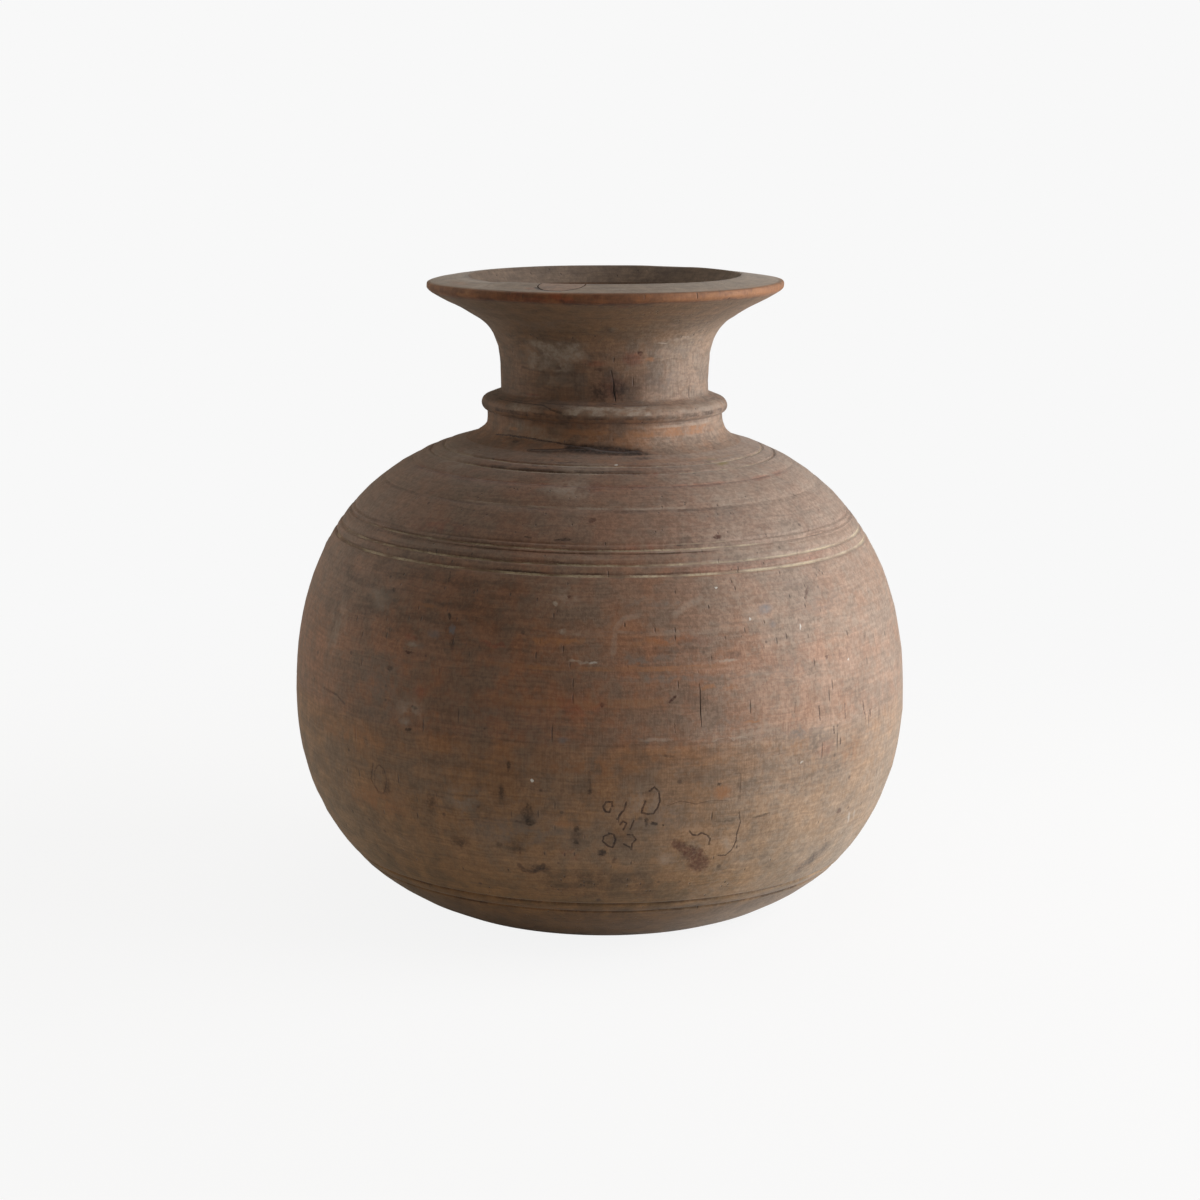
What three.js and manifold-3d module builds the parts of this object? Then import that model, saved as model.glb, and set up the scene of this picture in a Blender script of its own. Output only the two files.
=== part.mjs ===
// Turned wooden pot: one hollowed block with a round belly, collar, bead, neck and flared rim,
// and the small round patch let into the top of its rim.
import * as THREE from 'three';
import { mergeVertices } from 'three/addons/utils/BufferGeometryUtils.js';
import Module from 'manifold-3d';

// Driving dimensions in millimetres. The pot stands on Z = 0 and its axis is Z.
const bellyRadius = 150;
const widestHeight = 105;
const shoulderHeight = 228.5; // top of the belly, where the cove to the collar starts
const baseRadius = 72; // flat that the pot stands on
const footWidth = 15.2; // rounding between that flat and the belly
const footHeight = 3;
const lowerFullness = { across: 3.04, along: 2.1 }; // exponents of the belly's curve below its widest
const upperFullness = { across: 2.87, along: 2.155 }; // and above it

const neckRadius = 50.4;
const collarStep = 6.8; // how far the collar stands out from the neck
const coveWidth = 11.3; // cove between the collar and the belly
const coveHeight = 11;
const collarHeight = 3.1; // plain band under the bead
const beadProud = 2.6; // how far the bead stands out from the collar
const beadRounding = 3.5;
const beadTopAngle = THREE.MathUtils.degToRad(70);
const beadRampHeight = 2.4; // sloping top of the bead, up to the cove at the neck's foot
const neckCove = 1.2; // width of that cove
const neckCoveHeight = 1.8;
const flareHeight = 46.9; // neck's foot to the underside of the rim
const flareAngle = THREE.MathUtils.degToRad(28); // slope of the rim's underside
const neckPull = 1.1; // how closely the flare's curve follows the neck
const rimPull = 0.86; // and the underside of the rim

const rimRadius = 86.7;
const rimRounding = 2.7;
const rimEdgeHeight = 3.6;
const rimEdgeSoftening = 1.2; // worn upper edges of the rim
const landWidth = 20.8; // top face of the rim, which falls outwards
const landFall = 2.9;

const bellyWall = 14;
const neckWall = 10.4;
const floorThickness = 22;
const floorRadius = 60; // flat of the hollow's floor
const shoulderWall = 6.7;
const throatRounding = 6; // inner edge where the neck opens into the belly
const throatHeight = 8;
const boreHeight = 26; // straight part of the neck's bore
const funnelMouthPull = 0.6;
const funnelBorePull = 0.4;
const funnelAngle = THREE.MathUtils.degToRad(51.5); // slope of the mouth's wall at its edge

const patchRadius = 11;
const patchMargin = 6.2; // rim's outer edge to the patch
const patchPocketDepth = 5.5;
const patchAngle = THREE.MathUtils.degToRad(-106.5); // direction of the patch about Z, 0 being +X
const seatGap = 0.3; // gap between the patch and its pocket

const latheSegments = 48;
const bellySteps = 11; // points on each half of the belly's outline
const hollowSteps = 8;
const flareSteps = 9;
const funnelSteps = 5;
const softSteps = 2;
const coveSteps = 4;
const beadSteps = 6;
const patchSegments = 28;

// Turned grooves. The shoulder's are measured down from the top of the belly, the foot's up from the base.
const shoulderGrooves = [
  { below: 3, width: 1.5, depth: 0.7 },
  { below: 5.5, width: 1.5, depth: 0.8 },
  { below: 32.3, width: 1.2, depth: 0.5 },
  { below: 34.4, width: 1.6, depth: 0.8 },
  { below: 40.3, width: 1.8, depth: 0.9 },
  { below: 44.7, width: 2.2, depth: 1.2 },
];
const footGrooves = [
  { above: 25, width: 1.6, depth: 0.6 },
  { above: 29.7, width: 1.8, depth: 0.8 },
];

// Sizes that follow from the driving ones
const footRadius = baseRadius + footWidth;
const collarRadius = neckRadius + collarStep;
const shoulderRadius = collarRadius + coveWidth;
const collarFoot = shoulderHeight + coveHeight;
const beadCentreRadius = collarRadius + beadProud - beadRounding;
const beadStartAngle = Math.acos((collarRadius - beadCentreRadius) / beadRounding);
const beadCentreHeight = collarFoot + collarHeight + beadRounding * Math.sin(beadStartAngle);
const beadTop = beadCentreHeight + beadRounding * Math.sin(beadTopAngle);
const neckFoot = beadTop + beadRampHeight + neckCoveHeight;
const rimUnderside = neckFoot + flareHeight;
const rimCorner = rimUnderside + rimRounding * Math.tan(flareAngle);
const rimUpperEdge = rimCorner + rimEdgeHeight;
const rimTop = rimUpperEdge + landFall;
const mouthRadius = rimRadius - landWidth;
const boreRadius = neckRadius - neckWall;
const throatBottom = shoulderHeight - shoulderWall;
const throatTop = throatBottom + throatHeight;

const point = (radius, height) => new THREE.Vector2(radius, height);

// One half of a belly, from its widest circle to a smaller one: a quarter of a superellipse
function bellyHalf(widest, endRadius, rise, fullness) {
  const endShare = (endRadius / widest) ** fullness.across;
  const fullRise = rise / (1 - endShare) ** (1 / fullness.along);
  const radiusAt = (height) => {
    const share = (height / fullRise) ** fullness.along;
    return widest * (1 - share) ** (1 / fullness.across);
  };
  const endAngle = Math.acos((endRadius / widest) ** (fullness.across / 2));
  const heights = (steps) => Array.from({ length: steps + 1 }, (_, i) => {
    const angle = (endAngle * i) / steps;
    return fullRise * Math.sin(angle) ** (2 / fullness.along);
  });
  return { radiusAt, heights };
}

const upperOutside = bellyHalf(bellyRadius, shoulderRadius, shoulderHeight - widestHeight, upperFullness);
const lowerOutside = bellyHalf(bellyRadius, footRadius, footHeight - widestHeight, lowerFullness);

// Radius of the belly's outside at a height
function outsideRadius(height) {
  const half = height > widestHeight ? upperOutside : lowerOutside;
  return half.radiusAt(height - widestHeight);
}

// Unit vector up along the outside at a height
function outsideDirection(height) {
  const reach = 0.05;
  const above = point(outsideRadius(height + reach), height + reach);
  const below = point(outsideRadius(height - reach), height - reach);
  return above.sub(below).normalize();
}

// The three points of a V groove across the outside
function groovePoints({ height, width, depth }) {
  const along = outsideDirection(height);
  const halfRise = (along.y * width) / 2;
  return [
    point(outsideRadius(height - halfRise), height - halfRise),
    point(outsideRadius(height) - along.y * depth, height + along.x * depth),
    point(outsideRadius(height + halfRise), height + halfRise),
  ];
}

// Outside of the belly from the foot to the shoulder, with its grooves
function bellyOutside() {
  const grooves = [
    ...footGrooves.map((groove) => ({ ...groove, height: groove.above })),
    ...shoulderGrooves.map((groove) => ({ ...groove, height: shoulderHeight - groove.below })),
  ];
  const heights = [
    ...lowerOutside.heights(bellySteps).map((rise) => widestHeight + rise),
    ...upperOutside.heights(bellySteps).slice(1).map((rise) => widestHeight + rise),
  ];
  const clear = heights.filter((height) => grooves.every((groove) => {
    return Math.abs(height - groove.height) > groove.width;
  }));
  const stretches = [
    ...clear.map((height) => ({ height, points: [point(outsideRadius(height), height)] })),
    ...grooves.map((groove) => ({ height: groove.height, points: groovePoints(groove) })),
  ];
  stretches.sort((a, b) => a.height - b.height);
  return stretches.flatMap((stretch) => stretch.points);
}

// A soft corner between two points, tangent to the lines that meet at the corner
function softCorner(from, corner, to, steps = softSteps) {
  return new THREE.QuadraticBezierCurve(from, corner, to).getPoints(steps);
}

function footOutline() {
  const belly = outsideDirection(footHeight);
  const corner = point(footRadius - (footHeight * belly.x) / belly.y, 0);
  const foot = softCorner(point(baseRadius, 0), corner, point(footRadius, footHeight));
  return [point(0, 0), ...foot.slice(0, -1)];
}

function collarAndBead() {
  const shoulder = outsideDirection(shoulderHeight);
  const coveCorner = point(collarRadius, shoulderHeight - (coveWidth * shoulder.y) / shoulder.x);
  const coveTop = point(collarRadius, collarFoot);
  const cove = softCorner(point(shoulderRadius, shoulderHeight), coveCorner, coveTop, coveSteps);
  const bead = new THREE.EllipseCurve(
    beadCentreRadius, beadCentreHeight, beadRounding, beadRounding, -beadStartAngle, beadTopAngle,
  ).getPoints(beadSteps);
  const rampStart = bead.at(-1);
  const rampEnd = point(neckRadius + neckCove, beadTop + beadRampHeight);
  const rampSlope = beadRampHeight / (rampStart.x - rampEnd.x);
  const neckCorner = point(neckRadius, rampEnd.y + neckCove * rampSlope);
  return [...cove.slice(1), ...bead, ...softCorner(rampEnd, neckCorner, point(neckRadius, neckFoot))];
}

// The neck and its flare are one curve; the slope of the rim's underside meets the neck's line at a corner
function neckAndFlare() {
  const start = point(neckRadius, neckFoot);
  const end = point(rimRadius - rimRounding, rimUnderside);
  const corner = point(neckRadius, rimUnderside - (end.x - neckRadius) * Math.tan(flareAngle));
  const neckHandle = start.clone().lerp(corner, neckPull);
  const rimHandle = end.clone().lerp(corner, rimPull);
  return new THREE.CubicBezierCurve(start, neckHandle, rimHandle, end).getPoints(flareSteps).slice(1);
}

function rimOutline() {
  const land = point(-landWidth, landFall).normalize();
  const lowerEdge = softCorner(
    point(rimRadius - rimRounding, rimUnderside),
    point(rimRadius, rimCorner),
    point(rimRadius, rimCorner + rimEdgeSoftening),
  );
  const upperCorner = point(rimRadius, rimUpperEdge);
  const upperEdge = softCorner(
    point(rimRadius, rimUpperEdge - rimEdgeSoftening),
    upperCorner,
    upperCorner.clone().addScaledVector(land, rimEdgeSoftening),
  );
  const mouthCorner = point(mouthRadius, rimTop);
  const wall = point(-Math.cos(funnelAngle), -Math.sin(funnelAngle));
  const mouthEdge = softCorner(
    mouthCorner.clone().addScaledVector(land, -rimEdgeSoftening),
    mouthCorner,
    mouthCorner.clone().addScaledVector(wall, rimEdgeSoftening),
  );
  return [...lowerEdge.slice(1), ...upperEdge, ...mouthEdge];
}

// The mouth's wall narrows to the bore of the neck
function funnelOutline() {
  const wall = point(-Math.cos(funnelAngle), -Math.sin(funnelAngle));
  const start = point(mouthRadius, rimTop).addScaledVector(wall, rimEdgeSoftening);
  const end = point(boreRadius, throatTop + boreHeight);
  const corner = point(boreRadius, start.y - (start.x - boreRadius) * Math.tan(funnelAngle));
  const startHandle = start.clone().lerp(corner, funnelMouthPull);
  const endHandle = end.clone().lerp(corner, funnelBorePull);
  return new THREE.CubicBezierCurve(start, startHandle, endHandle, end).getPoints(funnelSteps).slice(1);
}

function hollowOutline() {
  const insideRadius = bellyRadius - bellyWall;
  const throatRadius = boreRadius + throatRounding;
  const throat = softCorner(
    point(boreRadius, throatTop),
    point(boreRadius, throatBottom),
    point(throatRadius, throatBottom),
  );
  const upper = bellyHalf(insideRadius, throatRadius, throatBottom - widestHeight, upperFullness);
  const lower = bellyHalf(insideRadius, floorRadius, floorThickness - widestHeight, lowerFullness);
  const down = upper.heights(hollowSteps).reverse().slice(1);
  const on = lower.heights(hollowSteps).slice(1);
  return [
    ...throat,
    ...down.map((rise) => point(upper.radiusAt(rise), widestHeight + rise)),
    ...on.map((rise) => point(lower.radiusAt(rise), widestHeight + rise)),
    point(0, floorThickness),
  ];
}

const wasm = await Module();
wasm.setup();

// A closed geometry as a solid, with its shared vertices merged and the slivers at the axis left out
function toSolid(geometry) {
  const bare = geometry.clone();
  bare.deleteAttribute('normal');
  bare.deleteAttribute('uv');
  const merged = mergeVertices(bare, 1e-4);
  const corners = merged.index.array;
  const kept = [];
  for (let i = 0; i < corners.length; i += 3) {
    const [a, b, c] = [corners[i], corners[i + 1], corners[i + 2]];
    if (a !== b && b !== c && c !== a) kept.push(a, b, c);
  }
  return new wasm.Manifold(new wasm.Mesh({
    numProp: 3,
    vertProperties: new Float32Array(merged.attributes.position.array),
    triVerts: new Uint32Array(kept),
  }));
}

function toGeometry(solid) {
  const mesh = solid.getMesh();
  const geometry = new THREE.BufferGeometry();
  geometry.setAttribute('position', new THREE.BufferAttribute(new Float32Array(mesh.vertProperties), 3));
  geometry.setIndex(new THREE.BufferAttribute(new Uint32Array(mesh.triVerts), 1));
  const facets = geometry.toNonIndexed();
  facets.computeVertexNormals();
  return facets;
}

// The block as it leaves the lathe
function turnedBlock() {
  const outline = [
    ...footOutline(),
    ...bellyOutside(),
    ...collarAndBead(),
    ...neckAndFlare(),
    ...rimOutline(),
    ...funnelOutline(),
    ...hollowOutline(),
  ];
  return toSolid(new THREE.LatheGeometry(outline, latheSegments).rotateX(Math.PI / 2));
}

// Upright round plug on the rim's top, standing on a floor a given depth under the rim's top
function rimPlug(radius, depth) {
  const height = patchPocketDepth * 2 + landFall;
  const floor = rimTop - depth;
  const distance = rimRadius - patchMargin - patchRadius;
  const geometry = new THREE.CylinderGeometry(radius, radius, height, patchSegments).rotateX(Math.PI / 2);
  geometry.translate(distance * Math.cos(patchAngle), distance * Math.sin(patchAngle), floor + height / 2);
  return toSolid(geometry);
}

const block = turnedBlock();
const vessel = block.subtract(rimPlug(patchRadius, patchPocketDepth));
const patch = block.intersect(rimPlug(patchRadius - seatGap, patchPocketDepth - seatGap));

function namedMesh(name, solid, finish) {
  const mesh = new THREE.Mesh(toGeometry(solid), new THREE.MeshStandardMaterial(finish));
  mesh.name = name;
  return mesh;
}

const pot = new THREE.Group();
pot.add(namedMesh('turned_vessel', vessel, { color: 0x80604a, roughness: 0.82, metalness: 0 }));
pot.add(namedMesh('rim_patch', patch, { color: 0x8c5c46, roughness: 0.78, metalness: 0 }));

export default pot;
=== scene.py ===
# Looks, light and camera for the turned wooden pot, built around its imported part
import math

import bpy
import numpy as np
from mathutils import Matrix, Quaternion, Vector
from mathutils.kdtree import KDTree


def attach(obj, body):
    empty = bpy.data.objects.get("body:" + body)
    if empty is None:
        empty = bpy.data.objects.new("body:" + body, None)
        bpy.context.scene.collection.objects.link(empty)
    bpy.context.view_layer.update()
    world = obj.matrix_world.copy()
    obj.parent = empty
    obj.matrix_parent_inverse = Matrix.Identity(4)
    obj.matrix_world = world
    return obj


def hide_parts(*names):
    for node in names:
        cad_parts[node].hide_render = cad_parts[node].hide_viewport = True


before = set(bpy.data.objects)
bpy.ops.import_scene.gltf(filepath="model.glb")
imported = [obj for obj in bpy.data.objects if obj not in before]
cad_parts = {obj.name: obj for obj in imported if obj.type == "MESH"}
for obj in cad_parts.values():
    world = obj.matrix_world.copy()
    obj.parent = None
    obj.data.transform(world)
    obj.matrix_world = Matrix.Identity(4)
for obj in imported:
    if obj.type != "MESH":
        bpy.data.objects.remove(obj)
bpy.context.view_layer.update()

mm = 0.001
faceUp = Vector((0, 0, 1))

# The pot's outline in millimetres, as the part has it, with more points on each curve
vessel = {
    "bellyRadius": 150, "widestHeight": 105, "shoulderHeight": 228.5,
    "baseRadius": 72, "footWidth": 15.2, "footHeight": 3,
    "lowerFullness": (3.04, 2.1), "upperFullness": (2.87, 2.155),  # across, along
    "neckRadius": 50.4, "collarStep": 6.8, "coveWidth": 11.3, "coveHeight": 11, "collarHeight": 3.1,
    "beadProud": 2.6, "beadRounding": 3.5, "beadTopAngle": 70, "beadRampHeight": 2.4,
    "neckCove": 1.2, "neckCoveHeight": 1.8,
    "flareHeight": 46.9, "flareAngle": 28, "neckPull": 1.1, "rimPull": 0.86,
    "rimRadius": 86.7, "rimRounding": 2.7, "rimEdgeHeight": 3.6, "rimEdgeSoftening": 1.2,
    "landWidth": 20.8, "landFall": 2.9,
    "bellyWall": 14, "neckWall": 10.4, "floorThickness": 22, "floorRadius": 60, "shoulderWall": 6.7,
    "throatRounding": 6, "throatHeight": 8, "boreHeight": 26,
    "funnelMouthPull": 0.6, "funnelBorePull": 0.4, "funnelAngle": 51.5,
    "turns": 400, "patchTurns": 180,  # steps of the spin
    "baseRows": 7, "footRows": 6, "bellyRows": 24, "coveRows": 16, "beadRows": 10, "neckCoveRows": 4,
    "flareRows": 22, "underEdgeRows": 5, "upperEdgeRows": 4, "landShares": (0.12, 0.25, 0.4, 0.55, 0.7, 0.83),
    "mouthEdgeRows": 4, "funnelRows": 8, "throatRows": 3, "hollowRows": 9,
    "mergeDistance": 0.002, "smoothAngle": 48,
}

# Grooves and tool lines: height above the base, width and depth. Their cuts: shares of the width and of the depth
turnedGrooves = [
    (225.5, 1.7, 0.7), (223, 1.6, 0.8), (196.2, 1.4, 0.5), (194.1, 1.7, 0.8),
    (188.2, 1.9, 0.9), (183.8, 2.2, 1.2), (29.7, 2.0, 0.8), (25, 1.8, 0.6),
]
toolLines = [(218.6, 1.6, 0.3), (210, 1.8, 0.35), (192.6, 1.2, 0.3), (176, 1.4, 0.15), (112, 1.6, 0.18)]

grooveCut = [(-0.9, 0), (-0.5, 0.1), (-0.22, 0.8), (0, 1), (0.22, 0.85), (0.5, 0.1), (0.9, 0)]
toolCut = [(-0.6, 0), (-0.1, 1), (0.15, 0.9), (0.7, 0)]

zoneNames = ["base", "belly", "collar", "neck", "rimEdge", "rimLand", "mouth", "hollow"]


def deselectAll():
    if bpy.context.object and bpy.context.object.mode != "OBJECT":
        bpy.ops.object.mode_set(mode="OBJECT")
    bpy.ops.object.select_all(action="DESELECT")


def selectOnly(piece):
    deselectAll()
    piece.select_set(True)
    bpy.context.view_layer.objects.active = piece


# One half of a belly from its widest circle to a smaller one, a quarter of a superellipse
def bellyHalf(widest, endRadius, rise, fullness):
    across, along = fullness
    fullRise = rise / (1 - (endRadius / widest) ** across) ** (1 / along)
    endAngle = math.acos((endRadius / widest) ** (across / 2))

    def radiusAt(height):
        return widest * (1 - (height / fullRise) ** along) ** (1 / across)

    def heights(rows):
        return [fullRise * math.sin(endAngle * i / rows) ** (2 / along) for i in range(rows + 1)]

    return radiusAt, heights


def curvePoints(corners, rows):
    # Bezier curve of three or four corners, both ends included
    points = []
    for i in range(rows + 1):
        level = [Vector(c) for c in corners]
        while len(level) > 1:
            level = [a.lerp(b, i / rows) for a, b in zip(level, level[1:])]
        points.append(tuple(level[0]))
    return points


def outlineRows():
    # Rows of the outline from the base's centre round to the hollow's floor: radius, height, sink, zone
    v = vessel
    footRadius = v["baseRadius"] + v["footWidth"]
    collarRadius = v["neckRadius"] + v["collarStep"]
    shoulderRadius = collarRadius + v["coveWidth"]
    rows = []

    def add(points, zone):
        rows.extend((r, z, 0.0, zone) for r, z in points)

    upperAt, upperHeights = bellyHalf(
        v["bellyRadius"], shoulderRadius, v["shoulderHeight"] - v["widestHeight"], v["upperFullness"])
    lowerAt, lowerHeights = bellyHalf(
        v["bellyRadius"], footRadius, v["footHeight"] - v["widestHeight"], v["lowerFullness"])

    def outsideAt(height):
        rise = height - v["widestHeight"]
        return upperAt(rise) if rise > 0 else lowerAt(rise)

    def directionAt(height):
        return Vector((outsideAt(height + 0.05) - outsideAt(height - 0.05), 0.1)).normalized()

    # Base and the rounding of the foot
    add([(v["baseRadius"] * i / v["baseRows"], 0) for i in range(v["baseRows"])], "base")
    slope = directionAt(v["footHeight"])
    corner = (footRadius - v["footHeight"] * slope.x / slope.y, 0)
    foot = curvePoints([(v["baseRadius"], 0), corner, (footRadius, v["footHeight"])], v["footRows"])
    add(foot[:-1], "belly")

    # Belly, with its grooves and tool lines
    cuts = [(grooveCut, *groove) for groove in turnedGrooves] + [(toolCut, *line) for line in toolLines]
    plain = [v["widestHeight"] + h for h in lowerHeights(v["bellyRows"])]
    plain += [v["widestHeight"] + h for h in upperHeights(v["bellyRows"])[1:]]
    stretches = []
    for height in plain:
        if all(abs(height - cutHeight) > width for _, cutHeight, width, _ in cuts):
            stretches.append((height, [(outsideAt(height), height, 0.0, "belly")]))
    for shape, height, width, depth in cuts:
        rise = directionAt(height).y * width
        group = [(height + rise * place, depth * sink) for place, sink in shape]
        stretches.append((height, [(outsideAt(h), h, sink, "belly") for h, sink in group]))
    for _, group in sorted(stretches, key=lambda stretch: stretch[0]):
        rows.extend(group)

    # Cove, collar, bead and the small cove at the neck's foot
    slope = directionAt(v["shoulderHeight"])
    collarFoot = v["shoulderHeight"] + v["coveHeight"]
    coveCorner = (collarRadius, v["shoulderHeight"] - v["coveWidth"] * slope.y / slope.x)
    cove = curvePoints([(shoulderRadius, v["shoulderHeight"]), coveCorner, (collarRadius, collarFoot)], v["coveRows"])
    add(cove[1:], "collar")
    beadRadius = collarRadius + v["beadProud"] - v["beadRounding"]
    startAngle = math.acos((collarRadius - beadRadius) / v["beadRounding"])
    topAngle = math.radians(v["beadTopAngle"])
    beadHeight = collarFoot + v["collarHeight"] + v["beadRounding"] * math.sin(startAngle)
    add([(collarRadius, collarFoot + v["collarHeight"] * share) for share in (0.35, 0.7)], "collar")
    for i in range(v["beadRows"] + 1):
        angle = -startAngle + (topAngle + startAngle) * i / v["beadRows"]
        add([(beadRadius + v["beadRounding"] * math.cos(angle), beadHeight + v["beadRounding"] * math.sin(angle))],
            "collar")
    beadTop = rows[-1][1]
    rampEnd = (v["neckRadius"] + v["neckCove"], beadTop + v["beadRampHeight"])
    rampSlope = v["beadRampHeight"] / (rows[-1][0] - rampEnd[0])
    neckFoot = rampEnd[1] + v["neckCoveHeight"]
    small = curvePoints([rampEnd, (v["neckRadius"], rampEnd[1] + v["neckCove"] * rampSlope),
                         (v["neckRadius"], neckFoot)], v["neckCoveRows"])
    add([((rows[-1][0] + rampEnd[0]) / 2, (beadTop + rampEnd[1]) / 2)], "collar")
    add(small[:-1], "collar")

    # Neck and flare
    underside = neckFoot + v["flareHeight"]
    flare = math.tan(math.radians(v["flareAngle"]))
    start = Vector((v["neckRadius"], neckFoot))
    end = Vector((v["rimRadius"] - v["rimRounding"], underside))
    corner = Vector((v["neckRadius"], underside - (end.x - start.x) * flare))
    handles = [start, start.lerp(corner, v["neckPull"]), end.lerp(corner, v["rimPull"]), end]
    add(curvePoints(handles, v["flareRows"])[:-1], "neck")

    # Rim: its edge, its land and the edge of the mouth
    rimCorner = underside + v["rimRounding"] * flare
    rimUpper = rimCorner + v["rimEdgeHeight"]
    soft = v["rimEdgeSoftening"]
    land = Vector((-v["landWidth"], v["landFall"])).normalized()
    wall = Vector((-math.cos(math.radians(v["funnelAngle"])), -math.sin(math.radians(v["funnelAngle"]))))
    edge = (v["rimRadius"], rimCorner)
    add(curvePoints([end, edge, (v["rimRadius"], rimCorner + soft)], v["underEdgeRows"]), "rimEdge")
    upper = Vector((v["rimRadius"], rimUpper))
    add(curvePoints([(v["rimRadius"], rimUpper - soft), upper, upper + land * soft], v["upperEdgeRows"]), "rimEdge")
    mouthCorner = Vector((v["rimRadius"] - v["landWidth"], rimUpper + v["landFall"]))
    add([upper.lerp(mouthCorner, share) for share in v["landShares"]], "rimLand")
    mouthEdge = [mouthCorner - land * soft, mouthCorner, mouthCorner + wall * soft]
    add(curvePoints(mouthEdge, v["mouthEdgeRows"]), "rimLand")

    # Mouth's wall and the bore
    boreRadius = v["neckRadius"] - v["neckWall"]
    throatBottom = v["shoulderHeight"] - v["shoulderWall"]
    throatTop = throatBottom + v["throatHeight"]
    start = mouthCorner + wall * soft
    end = Vector((boreRadius, throatTop + v["boreHeight"]))
    corner = Vector((boreRadius, start.y + (start.x - boreRadius) * wall.y / -wall.x))
    handles = [start, start.lerp(corner, v["funnelMouthPull"]), end.lerp(corner, v["funnelBorePull"]), end]
    add(curvePoints(handles, v["funnelRows"])[1:], "mouth")
    add([(boreRadius, throatTop + v["boreHeight"] * share) for share in (0.66, 0.33)], "mouth")

    # Hollow
    throatRadius = boreRadius + v["throatRounding"]
    insideRadius = v["bellyRadius"] - v["bellyWall"]
    throat = [(boreRadius, throatTop), (boreRadius, throatBottom), (throatRadius, throatBottom)]
    add(curvePoints(throat, v["throatRows"]), "hollow")
    innerUpper, innerUpperHeights = bellyHalf(
        insideRadius, throatRadius, throatBottom - v["widestHeight"], v["upperFullness"])
    innerLower, innerLowerHeights = bellyHalf(
        insideRadius, v["floorRadius"], v["floorThickness"] - v["widestHeight"], v["lowerFullness"])
    down = innerUpperHeights(v["hollowRows"])[::-1][1:]
    add([(innerUpper(rise), v["widestHeight"] + rise) for rise in down], "hollow")
    add([(innerLower(rise), v["widestHeight"] + rise) for rise in innerLowerHeights(v["hollowRows"])[1:]], "hollow")
    add([(v["floorRadius"] * share, v["floorThickness"]) for share in (0.66, 0.33, 0)], "hollow")
    return rows


outline = outlineRows()
rowPlace = np.array([row[:2] for row in outline])
rowSink = np.array([row[2] for row in outline])
rowZone = [zoneNames.index(row[3]) for row in outline]

# Outward direction of each row, and the length along the outline, from the middle of the foot's rounding
rowAlong = np.gradient(rowPlace, axis=0)
rowAlong /= np.linalg.norm(rowAlong, axis=1)[:, None]
rowOut = np.stack([rowAlong[:, 1], -rowAlong[:, 0]], axis=1)
sunkPlace = rowPlace - rowOut * rowSink[:, None]
rowArc = np.concatenate([[0], np.cumsum(np.linalg.norm(np.diff(sunkPlace, axis=0), axis=1))])
footMiddle = vessel["baseRadius"] + vessel["footWidth"] / 2
footEnd = vessel["baseRows"] + vessel["footRows"] - 1
rowArc -= np.interp(footMiddle, rowPlace[:footEnd, 0], rowArc[:footEnd])
arcStart, arcEnd = rowArc[0], rowArc[-1]
rimRow = int(np.argmax(rowPlace[:, 1]))
print("outline rows", len(outline), "outside arc", round(float(rowArc[rimRow]), 1))


def radiusAtArc(arc):
    return float(np.interp(arc, rowArc[:rimRow + 1], rowPlace[:rimRow + 1, 0]))


def grooveArc(number):
    # Arc of the middle of a groove
    return float(np.interp(turnedGrooves[number][0], rowPlace[:rimRow + 1, 1], rowArc[:rimRow + 1]))


def turnBlock(name, turns):
    # A circle, opened and drawn out along the outline, then spun about the axis
    deselectAll()
    bpy.ops.mesh.primitive_circle_add(vertices=len(rowPlace), radius=0.1)
    piece = bpy.context.object
    piece.name = name
    for vertex, (radius, height) in zip(piece.data.vertices, rowPlace):
        vertex.co = (0, radius * mm, height * mm)
    last = len(rowPlace) - 1
    for edge in piece.data.edges:
        edge.select = set(edge.vertices) == {0, last}
    for vertex in piece.data.vertices:
        vertex.select = vertex.index in (0, last)
    bpy.ops.object.mode_set(mode="EDIT")
    bpy.ops.mesh.select_mode(type="EDGE")
    bpy.ops.mesh.delete(type="EDGE")
    bpy.ops.mesh.select_all(action="SELECT")
    bpy.ops.mesh.spin(steps=turns, angle=2 * math.pi, center=(0, 0, 0), axis=(0, 0, 1))
    bpy.ops.mesh.select_all(action="SELECT")
    bpy.ops.mesh.remove_doubles(threshold=vessel["mergeDistance"] * mm)
    bpy.ops.mesh.normals_make_consistent(inside=False)
    bpy.ops.object.mode_set(mode="OBJECT")
    return piece


def cutWith(piece, tool, operation="DIFFERENCE"):
    cut = piece.modifiers.new("cut", "BOOLEAN")
    cut.operation = operation
    cut.object = tool
    cut.solver = "EXACT"
    cut.material_mode = "TRANSFER"
    selectOnly(piece)
    bpy.ops.object.modifier_apply(modifier=cut.name)
    bpy.data.objects.remove(tool)


rimRepair = {
    "angle": -16.5,  # degrees from the front, right positive
    "margin": 6.2, "radius": 11, "depth": 5.5, "seatGap": 0.3, "landArc": 412,
    "sides": 72, "pocketSlack": 0.25, "waviness": 0.16, "waves": 0.4,
}


def frontPoint(angle, radius, height):
    turn = math.radians(angle)
    return Vector((radius * math.sin(turn), -radius * math.cos(turn), height)) * mm


def patchEdge(turn, margin=0.9):
    # Angle and arc of a point a margin outside the patch's edge, by its turn about the patch from the front
    v, p = vessel, rimRepair
    reach = p["radius"] + margin
    out = v["rimRadius"] - p["margin"] - p["radius"] + reach * math.cos(math.radians(turn))
    side = reach * math.sin(math.radians(turn))
    outer = int(np.abs(rowArc - p["landArc"]).argmin())
    arc = np.interp(-math.hypot(out, side), -rowPlace[outer:rimRow, 0], rowArc[outer:rimRow])
    return p["angle"] + math.degrees(math.atan2(side, out)), float(arc)


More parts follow.
